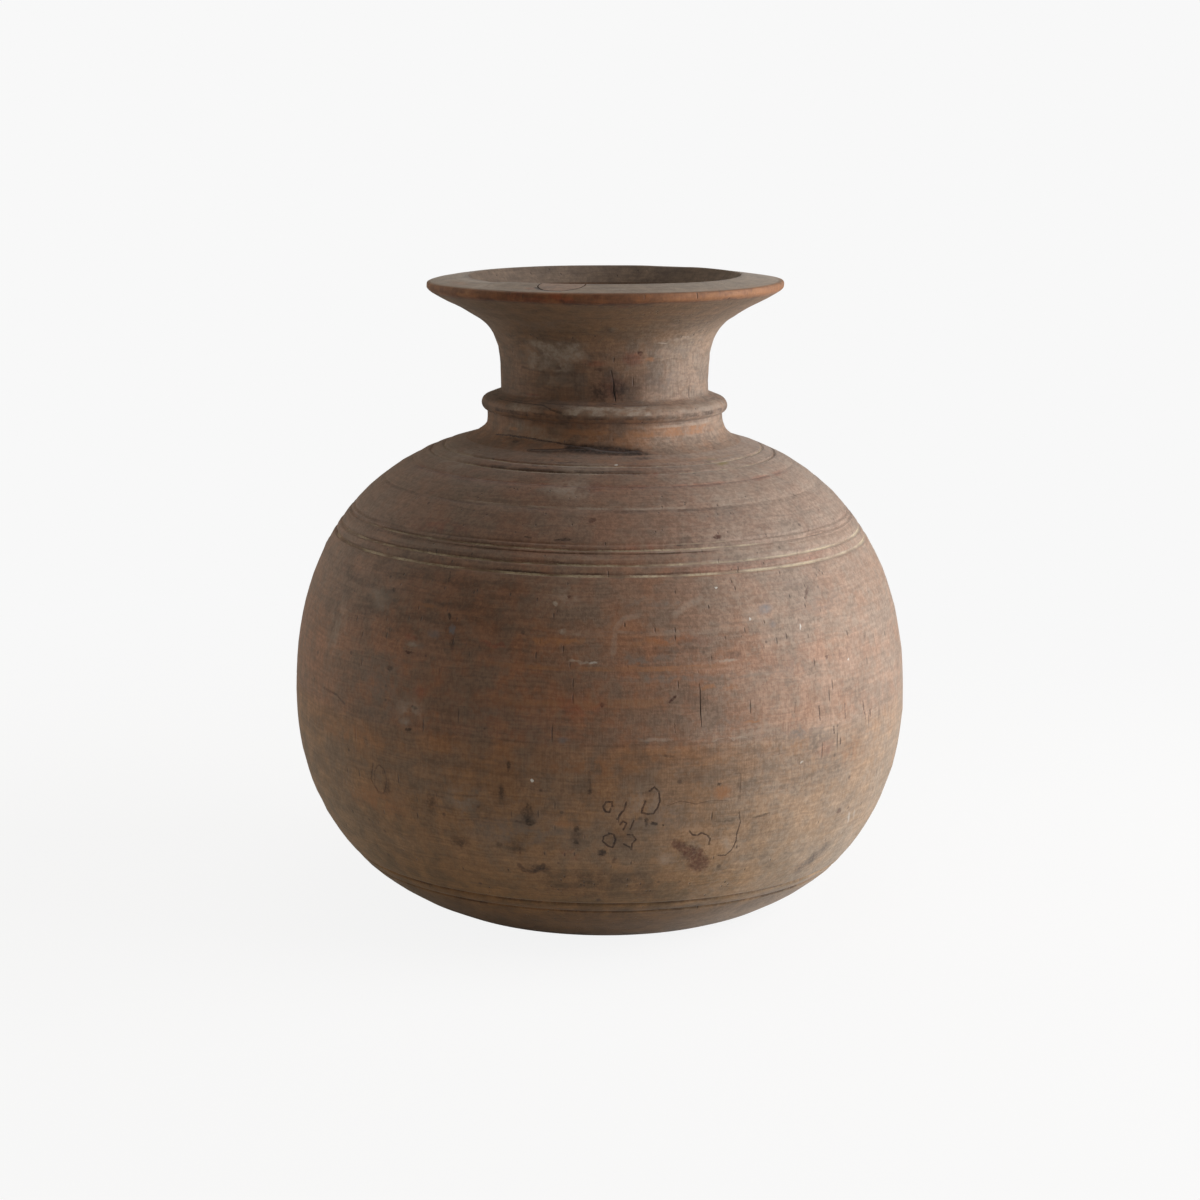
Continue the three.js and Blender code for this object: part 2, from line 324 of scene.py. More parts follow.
def rimPlug(radius, depth):
    # Upright plug at the repair, with a hand-cut outline
    v, p = vessel, rimRepair
    rimTop = rowPlace[rimRow, 1]
    height = 2 * p["depth"] + v["landFall"]
    centre = frontPoint(p["angle"], v["rimRadius"] - p["margin"] - p["radius"], rimTop - depth + height / 2)
    deselectAll()
    bpy.ops.mesh.primitive_cylinder_add(vertices=p["sides"], radius=radius * mm, depth=height * mm, location=centre)
    plug = bpy.context.object
    bpy.ops.object.transform_apply(location=True, rotation=True, scale=True)
    for vertex in plug.data.vertices:
        out = Vector((vertex.co.x - centre.x, vertex.co.y - centre.y, 0))
        turn = math.atan2(out.y, out.x)
        wave = math.sin(3 * turn + p["waves"]) + 0.6 * math.sin(7 * turn + 2 * p["waves"])
        vertex.co += out.normalized() * wave * p["waviness"] * mm
    return plug


# Surface that the tool and the years have left: waves of the lathe, uneven grooves, a leaning body and a worn rim
ageing = {
    "ridges": 26, "ridgeHeight": 0.05, "ridgePeriods": (5, 26), "ridgeTurns": (0, 3), "ridgeWander": 0.6,
    "swells": 14, "swellHeight": 0.16, "swellPeriods": (40, 160), "swellTurns": (1, 8),
    "grooveUnevenness": 0.4, "unevenTurns": [(1, 0.3), (3, 0.3), (7, 0.35), (13, 0.3), (29, 0.25)],
    "lean": [(0, 1.0), (20, 0.5), (60, 0.1), (105, -0.2), (160, -0.45), (185, -0.7), (212, -0.65), (228, 0.1),
             (236, 1.2), (242, 0.6), (252, 0.4), (275, 0.1), (300, -0.3), (309, -0.3)],  # height, shift to the right
    "rimTilt": 0.75, "tiltFrom": 258, "tiltTo": 300,
    "flatFoot": (2, 12),  # arcs between which the changes fade in, so that the pot still stands flat
    # The crack at the collar's foot: degrees from and to, arc at its left, falls of the arc, half widths
    "slitFrom": -54, "slitSpan": 70, "slitArc": 312.3, "slitFall": 1.2, "lensFall": 2.2, "lensFallAt": (-12, 9),
    "slitHalf": 0.45, "lensHalf": 1.5, "lensFrom": (-14, 2), "lensTo": (8, 16), "slitDepth": 1.5,
    "slitStart": (-56, -46), "slitEnd": (13, 17),
    # What the rim's edges have lost: degrees, arc, half width in degrees, half height, depth
    "dents": [
        (-84, 409, 26, 5, 0.7), (-70, 428, 15, 3.5, 0.9), (-52, 429, 7, 2.2, 0.8), (20, 403, 5, 1.6, 0.25),
        (62, 408.5, 8, 1.5, 0.3), (-38, 402, 4, 1.6, 0.3), (5, 408, 9, 1.4, 0.2), (118, 408, 6, 2, 0.5),
        (150, 430, 9, 2.5, 0.6), (-140, 404, 7, 2.4, 0.45), (172, 406, 3, 1.8, 0.6), (-30, 408.5, 6, 1.5, 0.2),
        (40, 402, 5, 1.6, 0.3), (95, 404, 12, 3, 0.3)],
}


def smoothStep(value, low, high):
    share = np.clip((value - low) / (high - low), 0, 1)
    return share * share * (3 - 2 * share)


def wearRim(angle, arc):
    # Millimetres that the rim's edges have lost
    loss = np.zeros_like(angle)
    for place, height, wide, tall, depth in ageing["dents"]:
        away = ((angle - place + 180) % 360 - 180) / wide
        loss += depth * np.exp(-away ** 2 - ((arc - height) / tall) ** 2)
    return loss


def collarSlit(angle, arc):
    # The crack at the collar's foot: a thin slit on the left that opens into a lens at the front
    a = ageing
    place = np.clip((angle - a["slitFrom"]) / a["slitSpan"], 0, 1)
    centre = a["slitArc"] - a["slitFall"] * place - a["lensFall"] * smoothStep(angle, *a["lensFallAt"])
    half = a["slitHalf"] + a["lensHalf"] * smoothStep(angle, *a["lensFrom"]) * (1 - smoothStep(angle, *a["lensTo"]))
    ends = smoothStep(angle, *a["slitStart"]) * (1 - smoothStep(angle, *a["slitEnd"]))
    return a["slitDepth"] * ends * np.exp(-((arc - centre) / half) ** 2)


def ageSurface(piece):
    # Stores each vertex's place as angle and arc in a UV map, then moves the vertices
    mesh = piece.data
    count = len(mesh.vertices)
    place = np.zeros(count * 3)
    mesh.vertices.foreach_get("co", place)
    place = place.reshape(-1, 3) / mm
    radius = np.hypot(place[:, 0], place[:, 1])
    angle = np.degrees(np.arctan2(place[:, 0], -place[:, 1]))
    tree = KDTree(len(outline))
    for i, (r, z) in enumerate(rowPlace):
        tree.insert((r, 0, z), i)
    tree.balance()
    row = np.array([tree.find((r, 0, z))[1] for r, z in zip(radius, place[:, 2])])
    arc = rowArc[row] + ((np.stack([radius, place[:, 2]], 1) - rowPlace[row]) * rowAlong[row]).sum(1)
    out2d = rowOut[row]
    shade = np.stack([np.sin(np.radians(angle)), -np.cos(np.radians(angle))], 1)
    out3d = np.concatenate([shade * out2d[:, :1], out2d[:, 1:]], axis=1)

    draws = np.random.default_rng(11)
    turn = np.radians(angle)
    move = np.zeros(count)
    for _ in range(ageing["ridges"]):
        period, around = draws.uniform(*ageing["ridgePeriods"]), draws.integers(*ageing["ridgeTurns"])
        phases = draws.uniform(0, 2 * math.pi, 3)
        strength = draws.uniform(0.3, 1) * ageing["ridgeHeight"]
        wander = ageing["ridgeWander"] * np.sin(turn + phases[2])
        move += strength * np.sin(2 * math.pi * arc / period + phases[0] + wander) * np.cos(around * turn + phases[1])
    for _ in range(ageing["swells"]):
        period, around = draws.uniform(*ageing["swellPeriods"]), draws.integers(*ageing["swellTurns"])
        phases = draws.uniform(0, 2 * math.pi, 2)
        strength = draws.uniform(0.2, 1) * ageing["swellHeight"] / (1 + 0.25 * around)
        move += strength * np.sin(2 * math.pi * arc / period + phases[0]) * np.sin(around * turn + phases[1])
    uneven = np.zeros(count)
    for around, strength in ageing["unevenTurns"]:
        uneven += strength * np.sin(around * turn + arc * 0.7 + around)
    sink = np.interp(arc, rowArc, rowSink) * (row <= rimRow)
    move -= sink * (1 + ageing["grooveUnevenness"] * uneven)
    move -= wearRim(angle, arc) + collarSlit(angle, arc)
    atFoot = smoothStep(arc, *ageing["flatFoot"])
    place += out3d * (move * atFoot)[:, None]

    heights, shifts = zip(*ageing["lean"])
    place[:, 0] += np.interp(place[:, 2], heights, shifts) * atFoot
    tilt = math.tan(math.radians(ageing["rimTilt"]))
    place[:, 2] += place[:, 0] * tilt * smoothStep(place[:, 2], ageing["tiltFrom"], ageing["tiltTo"])
    mesh.vertices.foreach_set("co", (place * mm).ravel())

    # UV: one turn across from the back, the whole outline up
    corners = np.zeros(len(mesh.loops), dtype=int)
    mesh.loops.foreach_get("vertex_index", corners)
    across = angle[corners] / 360 + 0.5
    starts = np.zeros(len(mesh.polygons), dtype=int)
    totals = np.zeros(len(mesh.polygons), dtype=int)
    mesh.polygons.foreach_get("loop_start", starts)
    mesh.polygons.foreach_get("loop_total", totals)
    faceOf = np.repeat(np.arange(len(starts)), totals)
    highest = np.maximum.reduceat(across, starts)
    across[(highest[faceOf] - across) > 0.5] += 1  # faces on the seam at the back
    up = (arc[corners] - arcStart) / (arcEnd - arcStart)
    while mesh.uv_layers:
        mesh.uv_layers.remove(mesh.uv_layers[0])
    layer = mesh.uv_layers.new(name="turnAndArc")
    layer.data.foreach_set("uv", np.stack([across, up], 1).ravel())
    return np.minimum.reduceat(row[corners], starts)


# Drying checks: degrees from the front, arc, length, width, depth, turn from upright
dryingChecks = [
    (17.7, 161, 20, 0.5, 3.2, -1), (5.2, 344, 11, 0.6, 2.4, -6), (158, 178, 52, 1.1, 4.5, 2),
    (-122, 118, 34, 0.8, 3.5, -3), (97, 252, 22, 0.7, 3, 5), (-152, 352, 20, 0.8, 3, 0), (-141, 205, 18, 0.6, 3, 4),
]


spindleShape = {"segments": 10, "rings": 18, "sway": 0.25, "swayWaves": 4}


def checkSpindles():
    # A thin spindle for each check, which wanders a little along its length
    s = spindleShape
    spindles = []
    for angle, arc, length, width, depth, turn in dryingChecks:
        row = int(np.abs(rowArc[:rimRow] - arc).argmin())
        centre = frontPoint(angle, rowPlace[row, 0], rowPlace[row, 1])
        side = frontPoint(angle + 90, 1, 0).normalized()
        front = frontPoint(angle, 1, 0).normalized()
        out = front * rowOut[row, 0] + faceUp * rowOut[row, 1]
        along = front * rowAlong[row, 0] + faceUp * rowAlong[row, 1]
        lean = math.tan(math.radians(turn))
        deselectAll()
        bpy.ops.mesh.primitive_uv_sphere_add(segments=s["segments"], ring_count=s["rings"], radius=1)
        spindle = bpy.context.object
        for vertex in spindle.data.vertices:
            across, inward, reach = vertex.co
            sway = s["sway"] * math.sin(s["swayWaves"] * reach + angle) * width + lean * reach * length / 2
            offset = side * (across * width / 2 + sway) + out * inward * depth + along * reach * length / 2
            vertex.co = centre + offset * mm
        selectOnly(spindle)
        bpy.ops.object.mode_set(mode="EDIT")
        bpy.ops.mesh.select_all(action="SELECT")
        bpy.ops.mesh.normals_make_consistent(inside=False)
        bpy.ops.object.mode_set(mode="OBJECT")
        spindles.append(spindle)
    return spindles


def joined(pieces):
    deselectAll()
    for piece in pieces:
        piece.select_set(True)
    bpy.context.view_layer.objects.active = pieces[0]
    bpy.ops.object.join()
    return pieces[0]


# Shader building blocks
def feed(tree, socket, value):
    if isinstance(value, bpy.types.NodeSocket):
        tree.links.new(value, socket)
    else:
        socket.default_value = value


def addNode(tree, kind, inputs=None, **settings):
    node = tree.nodes.new("ShaderNode" + kind)
    for name, value in settings.items():
        setattr(node, name, value)
    for name, value in (inputs or {}).items():
        feed(tree, node.inputs[name], value)
    return node


def maths(tree, operation, a, b=0.0, clamp=False):
    node = addNode(tree, "Math", {0: a}, operation=operation, use_clamp=clamp)
    if operation != "ABSOLUTE":
        feed(tree, node.inputs[1], b)
    return node.outputs[0]


def vectorMaths(tree, operation, a, b):
    node = addNode(tree, "VectorMath", {0: a}, operation=operation)
    feed(tree, node.inputs[3 if operation == "SCALE" else 1], b)
    return node.outputs["Value" if operation == "DOT_PRODUCT" else "Vector"]


def product(tree, *values):
    whole = values[0]
    for value in values[1:]:
        whole = maths(tree, "MULTIPLY", whole, value)
    return whole


def lengthOf(tree, vector):
    return addNode(tree, "VectorMath", {0: vector}, operation="LENGTH").outputs["Value"]


def total(tree, parts):
    # Sum of values, each with its share
    whole = 0.0
    for value, share in parts:
        node = addNode(tree, "Math", {0: value, 1: share, 2: whole}, operation="MULTIPLY_ADD")
        whole = node.outputs[0]
    return whole


def largest(tree, masks):
    whole = masks[0]
    for mask in masks[1:]:
        whole = maths(tree, "MAXIMUM", whole, mask)
    return whole


def ease(tree, value, low, high, fromValue=0.0, toValue=1.0):
    ranges = {"Value": value, "From Min": low, "From Max": high, "To Min": fromValue, "To Max": toValue}
    return addNode(tree, "MapRange", ranges, interpolation_type="SMOOTHSTEP").outputs[0]


def blend(tree, factor, under, over, how="MIX"):
    node = addNode(tree, "Mix", {0: factor, 6: under, 7: over}, data_type="RGBA", blend_type=how)
    return node.outputs[2]


def shrunk(tree, vector, size):
    # The vector divided by a size, so that a pattern of one unit gets that size
    return vectorMaths(tree, "SCALE", vector, maths(tree, "DIVIDE", 1, size))


def noise(tree, vector, detail=2.0, roughness=0.5, output=0):
    inputs = {"Vector": vector, "Scale": 1.0, "Detail": detail, "Roughness": roughness}
    return addNode(tree, "TexNoise", inputs).outputs[output]


def opaque(colour):
    return (*colour, 1.0)


def colourRamp(tree, value, stops):
    node = addNode(tree, "ValToRGB", {0: value})
    ramp = node.color_ramp
    while len(ramp.elements) < len(stops):
        ramp.elements.new(0.5)
    for element, (position, colour) in zip(ramp.elements, stops):
        element.position = position
        element.color = opaque(colour)
    return node.outputs[0]


effects = {}
unseenShare = 1e-7  # far below anything that shows
lineCore = 0.3  # share of a line's half width that is at full strength


def startEffect(name, inputs, outputs):
    tree = bpy.data.node_groups.new(name, "ShaderNodeTree")
    for label, value in inputs.items():
        kind = "NodeSocketVector" if isinstance(value, tuple) else "NodeSocketFloat"
        socket = tree.interface.new_socket(label, in_out="INPUT", socket_type=kind)
        socket.default_value = value
    for label, kind in outputs.items():
        tree.interface.new_socket(label, in_out="OUTPUT", socket_type="NodeSocket" + kind)
    effects[name] = tree
    return tree, tree.nodes.new("NodeGroupInput").outputs, tree.nodes.new("NodeGroupOutput").inputs


def useEffect(tree, name, inputs=None):
    node = tree.nodes.new("ShaderNodeGroup")
    node.node_tree = effects[name]
    for label, value in (inputs or {}).items():
        feed(tree, node.inputs[label], value)
    return node.outputs


def makePotPlace():
    # Where a point lies on the pot: degrees from the front, arc, unrolled surface and solid wood, in mm
    tree, _, out = startEffect("potPlace", {}, {
        "Angle": "Float", "Arc": "Float", "Unrolled": "Vector", "Ring": "Vector", "Solid": "Vector"})
    solid = vectorMaths(tree, "SCALE", addNode(tree, "TexCoord").outputs["Object"], 1 / mm)
    flat = vectorMaths(tree, "MULTIPLY", solid, (1, 1, 0))
    ring = addNode(tree, "VectorMath", {0: flat}, operation="NORMALIZE").outputs[0]
    radius = lengthOf(tree, flat)
    place = addNode(tree, "SeparateXYZ", {0: addNode(tree, "UVMap", uv_map="turnAndArc").outputs[0]}).outputs
    angle = product(tree, maths(tree, "SUBTRACT", place[0], 0.5), 360)
    arc = maths(tree, "ADD", product(tree, place[1], float(arcEnd - arcStart)), float(arcStart))
    across = product(tree, angle, math.pi / 180, radius)
    feed(tree, out["Angle"], angle)
    feed(tree, out["Arc"], arc)
    feed(tree, out["Unrolled"], addNode(tree, "CombineXYZ", {0: across, 1: arc}).outputs[0])
    feed(tree, out["Ring"], ring)
    feed(tree, out["Solid"], solid)


def makeLatheStreaks():
    # Streaks that run round the pot, longer as Reach gets smaller
    tree, given, out = startEffect("latheStreaks", {
        "Ring": (0, 0, 0), "Arc": 0.0, "Reach": 2.0, "Thickness": 2.0, "Seed": 0.0, "Detail": 2.0},
        {"Streak": "Float"})
    up = maths(tree, "ADD", maths(tree, "DIVIDE", given["Arc"], given["Thickness"]), given["Seed"])
    around = vectorMaths(tree, "SCALE", given["Ring"], given["Reach"])
    place = vectorMaths(tree, "ADD", around, addNode(tree, "CombineXYZ", {2: up}).outputs[0])
    feed(tree, out["Streak"], noise(tree, place, given["Detail"]))


def makeWoodFibre():
    # Upright grain through the solid wood, and the open pores in it
    tree, given, out = startEffect("woodFibre", {
        "Solid": (0, 0, 0), "Width": 0.6, "Length": 14.0, "Pore Share": 0.3, "Seed": 0.0},
        {"Grain": "Float", "Pores": "Float"})
    across = maths(tree, "DIVIDE", 1, given["Width"])
    size = addNode(tree, "CombineXYZ", {0: across, 1: across, 2: maths(tree, "DIVIDE", 1, given["Length"])})
    place = vectorMaths(tree, "ADD", vectorMaths(tree, "MULTIPLY", given["Solid"], size.outputs[0]), given["Seed"])
    feed(tree, out["Grain"], noise(tree, place, 3.0, 0.6))
    short = vectorMaths(tree, "MULTIPLY", place, (1, 1, 2.2))
    cells = addNode(tree, "TexVoronoi", {"Vector": short, "Scale": 0.4})
    chance = addNode(tree, "SeparateXYZ", {0: cells.outputs["Color"]}).outputs[0]
    dot = ease(tree, cells.outputs["Distance"], 0.36, 0.16)
    feed(tree, out["Pores"], product(tree, dot, maths(tree, "LESS_THAN", chance, given["Pore Share"])))


def makeMottle():
    # Soft patches of a given size through the solid wood
    tree, given, out = startEffect("mottle", {
        "Solid": (0, 0, 0), "Size": 10.0, "Low": 0.4, "High": 0.6, "Detail": 4.0, "Seed": 0.0}, {"Patches": "Float"})
    place = shrunk(tree, given["Solid"], given["Size"])
    place = vectorMaths(tree, "ADD", place, given["Seed"])
    feed(tree, out["Patches"], ease(tree, noise(tree, place, given["Detail"], 0.6), given["Low"], given["High"]))


def makeRagged():
    # The unrolled surface with its places shifted at random, so that what is drawn on it gets ragged edges
    tree, given, out = startEffect("ragged", {
        "Solid": (0, 0, 0), "Unrolled": (0, 0, 0), "Size": 4.0, "Shift": 3.0}, {"Unrolled": "Vector"})
    place = shrunk(tree, given["Solid"], given["Size"])
    shift = vectorMaths(tree, "SUBTRACT", noise(tree, place, 3.0, 0.6, 1), (0.5, 0.5, 0.5))
    shift = vectorMaths(tree, "SCALE", shift, given["Shift"])
    feed(tree, out["Unrolled"], vectorMaths(tree, "ADD", given["Unrolled"], shift))


def passOn(tree, given, out, mask):
    # A mark's mask over those before it, and the place for the next mark, which hangs on the mask unseen
    mask = maths(tree, "MAXIMUM", product(tree, mask, given["Strength"]), given["Under"])
    feed(tree, out["Mask"], mask)
    waits = total(tree, [(mask, unseenShare), (1.0, 1.0)])
    feed(tree, out["Unrolled"], vectorMaths(tree, "SCALE", given["Unrolled"], waits))


def makeMarks():
    # Single marks on the unrolled surface, each laid over those before it, Under: a round stain, an insect's ring
    # and a stroke between two points. Each passes its place on to the next mark, which then waits for it, so that
    # the renderer's small shader memory lasts.
    shared = {"Under": 0.0, "Unrolled": (0, 0, 0), "Centre": (0, 0, 0), "Turn": (0, 0, 0), "Size": (1, 1, 1),
              "Strength": 1.0}
    for name, extra in (("stain", {"Softness": 0.5}), ("insectRing", {"Thickness": 0.2})):
        tree, given, out = startEffect(name, {**shared, **extra}, {"Mask": "Float", "Unrolled": "Vector"})
        own = addNode(tree, "Mapping", {"Vector": given["Unrolled"], "Location": given["Centre"],
                                        "Rotation": given["Turn"], "Scale": given["Size"]}, vector_type="TEXTURE")
        away = lengthOf(tree, own.outputs[0])
        if name == "stain":
            mask = ease(tree, away, 1.0, maths(tree, "SUBTRACT", 1.0, given["Softness"]))
        else:
            off = maths(tree, "ABSOLUTE", maths(tree, "SUBTRACT", away, 1.0))
            mask = ease(tree, off, given["Thickness"], product(tree, given["Thickness"], lineCore))
        passOn(tree, given, out, mask)
    tree, given, out = startEffect("stroke", {
        "Under": 0.0, "Unrolled": (0, 0, 0), "Start": (0, 0, 0), "End": (1, 0, 0), "Half Width": 0.5,
        "Strength": 1.0},
        {"Mask": "Float", "Unrolled": "Vector"})
    fromStart = vectorMaths(tree, "SUBTRACT", given["Unrolled"], given["Start"])
    line = vectorMaths(tree, "SUBTRACT", given["End"], given["Start"])
    lengthSquared = vectorMaths(tree, "DOT_PRODUCT", line, line)
    share = maths(tree, "DIVIDE", vectorMaths(tree, "DOT_PRODUCT", fromStart, line), lengthSquared, clamp=True)
    off = vectorMaths(tree, "SUBTRACT", fromStart, vectorMaths(tree, "SCALE", line, share))
    core = product(tree, given["Half Width"], lineCore)
    passOn(tree, given, out, ease(tree, lengthOf(tree, off), given["Half Width"], core))


def makeRingLine():
    # A line round the pot that fades out at its two ends
    tree, given, out = startEffect("ringLine", {
        "Under": 0.0, "Unrolled": (0, 0, 0), "Angle": 0.0, "Place": 0.0, "Half Width": 0.5, "Softness": 0.5,
        "From": -230.0, "To": 230.0, "Fade": 8.0, "Strength": 1.0}, {"Mask": "Float", "Unrolled": "Vector"})
    arc = addNode(tree, "SeparateXYZ", {0: given["Unrolled"]}).outputs[1]
    angle = total(tree, [(arc, unseenShare), (given["Angle"], 1.0)])
    away = maths(tree, "ABSOLUTE", maths(tree, "SUBTRACT", arc, given["Place"]))
    line = ease(tree, away, maths(tree, "ADD", given["Half Width"], given["Softness"]), given["Half Width"])
    first = ease(tree, angle, given["From"], maths(tree, "ADD", given["From"], given["Fade"]))
    last = ease(tree, angle, given["To"], maths(tree, "SUBTRACT", given["To"], given["Fade"]))
    passOn(tree, given, out, product(tree, first, last, line))


def makeSpecks():
    # Small round specks through the solid wood, in a share of the cells of a pattern
    tree, given, out = startEffect("specks", {
        "Solid": (0, 0, 0), "Spacing": 6.0, "Size": 0.15, "Share": 0.2, "Seed": 0.0}, {"Mask": "Float"})
    place = shrunk(tree, given["Solid"], given["Spacing"])
    cells = addNode(tree, "TexVoronoi", {"Vector": vectorMaths(tree, "ADD", place, given["Seed"]), "Scale": 1.0})
    parts = addNode(tree, "SeparateXYZ", {0: cells.outputs["Color"]}).outputs
    size = product(tree, given["Size"], maths(tree, "ADD", 0.4, parts[1]))
    dot = ease(tree, cells.outputs["Distance"], size, product(tree, size, 0.4))
    feed(tree, out["Mask"], product(tree, dot, maths(tree, "LESS_THAN", parts[0], given["Share"])))


for makeEffect in (makePotPlace, makeLatheStreaks, makeWoodFibre, makeMottle, makeRagged, makeMarks, makeRingLine,
                   makeSpecks):
    makeEffect()
print("shader effects", len(effects))

# The turned outside: arc, bare wood and the grime on it
outsideWood = {
    "rampLength": 430,
    "tones": [
        (0, (0.25, 0.13, 0.044), (0.17, 0.094, 0.037)), (40, (0.255, 0.135, 0.048), (0.172, 0.096, 0.04)),
        (58, (0.325, 0.18, 0.07), (0.208, 0.13, 0.06)), (85, (0.36, 0.215, 0.11), (0.245, 0.165, 0.10)),
        (125, (0.36, 0.20, 0.10), (0.25, 0.16, 0.10)), (140, (0.37, 0.19, 0.092), (0.26, 0.155, 0.093)),
        (144, (0.34, 0.17, 0.095), (0.245, 0.15, 0.10)), (175, (0.35, 0.17, 0.095), (0.25, 0.152, 0.103)),
        (195, (0.32, 0.165, 0.095), (0.245, 0.155, 0.108)), (222, (0.30, 0.168, 0.11), (0.24, 0.158, 0.115)),
        (240, (0.275, 0.162, 0.113), (0.24, 0.16, 0.12)), (296, (0.26, 0.148, 0.10), (0.215, 0.142, 0.105)),
        (314, (0.28, 0.142, 0.074), (0.195, 0.12, 0.08)), (335, (0.22, 0.123, 0.076), (0.15, 0.098, 0.07)),
        (362, (0.235, 0.138, 0.083), (0.162, 0.11, 0.078)), (375, (0.225, 0.13, 0.067), (0.176, 0.11, 0.064)),
        (396, (0.214, 0.114, 0.05), (0.164, 0.096, 0.047)),
    ],
    "waviness": {"Size": 22.0, "Shift": 5.0},
    "broad": {"Reach": 1.8, "Thickness": 9.0, "Seed": 3.0, "Detail": 4.0},
    "narrow": {"Reach": 5.0, "Thickness": 1.2, "Seed": 40.0, "Detail": 4.0},
    "large": {"Size": 40.0, "Low": 0.3, "High": 0.7},
    "small": {"Size": 8.5, "Low": 0.34, "High": 0.66, "Detail": 8.0, "Seed": 9.0},
    "speckle": {"Size": 2.1, "Low": 0.3, "High": 0.7, "Detail": 4.0, "Seed": 5.0},
    "cloud": {"Size": 17.0, "Low": 0.32, "High": 0.68, "Detail": 6.0, "Seed": 52.0},
    "veilPatches": {"Size": 26.0, "Low": 0.42, "High": 0.6, "Detail": 8.0, "Seed": 71.0},
    "coverShares": (0.22, 0.13, 0.19, 0.3, 0.16), "coverLow": 0.34, "coverHigh": 0.67,  # of broad to speckle
    "dustAndSheenShares": (0.55, 0.2, 0.1, 0.2),  # of the sides with dust and painted sheen, cloud, speckle and broad
    # The dust colour is real dust, and on the two sides that face the lamps it is also painted sheen
    "dust": (0.45, 0.37, 0.30), "dustShare": 0.4, "dustLow": 0.42, "dustHigh": 0.95,
    # The side at -14 degrees and its darker, redder tone are painted shade, away from the key lamp
    "dustAndSheenSides": [(62, 1.0), (-135, 0.7)], "shadeSide": -14, "shadeTone": (0.86, 0.79, 0.72),
    "poreColour": (0.05, 0.03, 0.022), "veil": (0.19, 0.157, 0.125), "veilSide": -12, "veilShare": 0.3,
    "fibreTone": 0.14, "speckleTone": 0.13, "streakTone": 0.18, "poreShare": 0.045, "pores": 0.6,
    "specks": {"Spacing": 9.0, "Size": 0.13, "Share": 0.3}, "speckShare": 0.6, "speckColour": (0.06, 0.035, 0.025),
    "roughness": 0.62, "sheen": 0.26, "neckSheen": 0.12, "sheenRoughness": 0.45, "sheenTint": (0.95, 0.93, 0.92),
    "fibreHeight": 0.06, "streakHeight": 0.05, "speckleHeight": 0.05, "poreHeight": 0.2,
}


def turnedTo(tree, place, angle, low, high):
    # 1 on the side of the pot at the angle, fading to 0 round it
    turn = math.radians(angle)
    facing = vectorMaths(tree, "DOT_PRODUCT", place["Ring"], (math.sin(turn), -math.cos(turn), 0))
    return ease(tree, facing, low, high)


def mottled(tree, place, values):
    return useEffect(tree, "mottle", {"Solid": place["Solid"], **values})["Patches"]


def streaked(tree, place, arc, values):
    return useEffect(tree, "latheStreaks", {"Ring": place["Ring"], "Arc": arc, **values})["Streak"]


def agedWood(tree, place, tones, dusty=1.0, shadeAndVeil=1.0):
    # Colour, height in mm and roughness of turned wood with its grime, dust and painted sheen, a painted shade on its
    # front-left, grain and pores
    w = outsideWood
    wavy = useEffect(tree, "ragged", {"Solid": place["Solid"], "Unrolled": place["Unrolled"], **w["waviness"]})
    wavyArc = addNode(tree, "SeparateXYZ", {0: wavy["Unrolled"]}).outputs[1]
    broad, narrow = (streaked(tree, place, wavyArc, w[name]) for name in ("broad", "narrow"))
    large, small, speckle = (mottled(tree, place, w[name]) for name in ("large", "small", "speckle"))
    cover = total(tree, zip((broad, narrow, large, small, speckle), w["coverShares"]))
    cover = ease(tree, cover, w["coverLow"], w["coverHigh"])
    along = maths(tree, "DIVIDE", place["Arc"], w["rampLength"])
    bare = colourRamp(tree, along, [(arc / w["rampLength"], bare) for arc, bare, _ in tones])
    grime = colourRamp(tree, along, [(arc / w["rampLength"], grime) for arc, _, grime in tones])
    colour = blend(tree, cover, bare, grime)

    # Painted shade: the front-left side, away from the key lamp, is darker and redder
    paintedShade = product(tree, turnedTo(tree, place, w["shadeSide"], 0.7, 0.98), shadeAndVeil)
    colour = blend(tree, paintedShade, colour, opaque(w["shadeTone"]), "MULTIPLY")

    # Dust, and on the two lit sides a painted sheen, less towards the foot and under the rim
    sides = [product(tree, turnedTo(tree, place, angle, 0.42, 1.0), share) for angle, share in w["dustAndSheenSides"]]
    cloud = mottled(tree, place, w["cloud"])
    dust = total(tree, zip((largest(tree, sides), cloud, speckle, broad), w["dustAndSheenShares"]))
    dust = product(tree, ease(tree, dust, w["dustLow"], w["dustHigh"]), w["dustShare"] * dusty,
                   ease(tree, place["Arc"], 20, 75, 0.45, 1), ease(tree, place["Arc"], 390, 364, 0.25, 1))
    colour = blend(tree, dust, colour, opaque(w["dust"]))

    # A grey veil in patches, mostly on the front and above the foot
    veil = mottled(tree, place, w["veilPatches"])
    front = ease(tree, turnedTo(tree, place, w["veilSide"], 0.45, 0.95), 0, 1, 0.3, 1)
    veil = product(tree, veil, front, w["veilShare"] * shadeAndVeil, ease(tree, place["Arc"], 62, 100),
                   ease(tree, place["Arc"], 325, 295))
    colour = blend(tree, veil, colour, opaque(w["veil"]))

    # Grain, speckles, narrow streaks and pores
    fibre = useEffect(tree, "woodFibre", {"Solid": place["Solid"], "Pore Share": w["poreShare"]})
    tones = ((fibre["Grain"], w["fibreTone"]), (speckle, w["speckleTone"]), (narrow, -w["streakTone"]))
    for value, strength in tones:
        tone = ease(tree, value, 0.2, 0.8, 1 - strength, 1 + strength * 0.8)
        colour = blend(tree, 1.0, colour, tone, "MULTIPLY")
    colour = blend(tree, product(tree, fibre["Pores"], w["pores"]), colour, opaque(w["poreColour"]))
    height = total(tree, [(fibre["Grain"], w["fibreHeight"]), (narrow, w["streakHeight"]),
                          (speckle, w["speckleHeight"]), (fibre["Pores"], -w["poreHeight"])])
    roughness = total(tree, [(small, 0.12), (dust, 0.1), (w["roughness"], 1.0)])
    return colour, height, roughness


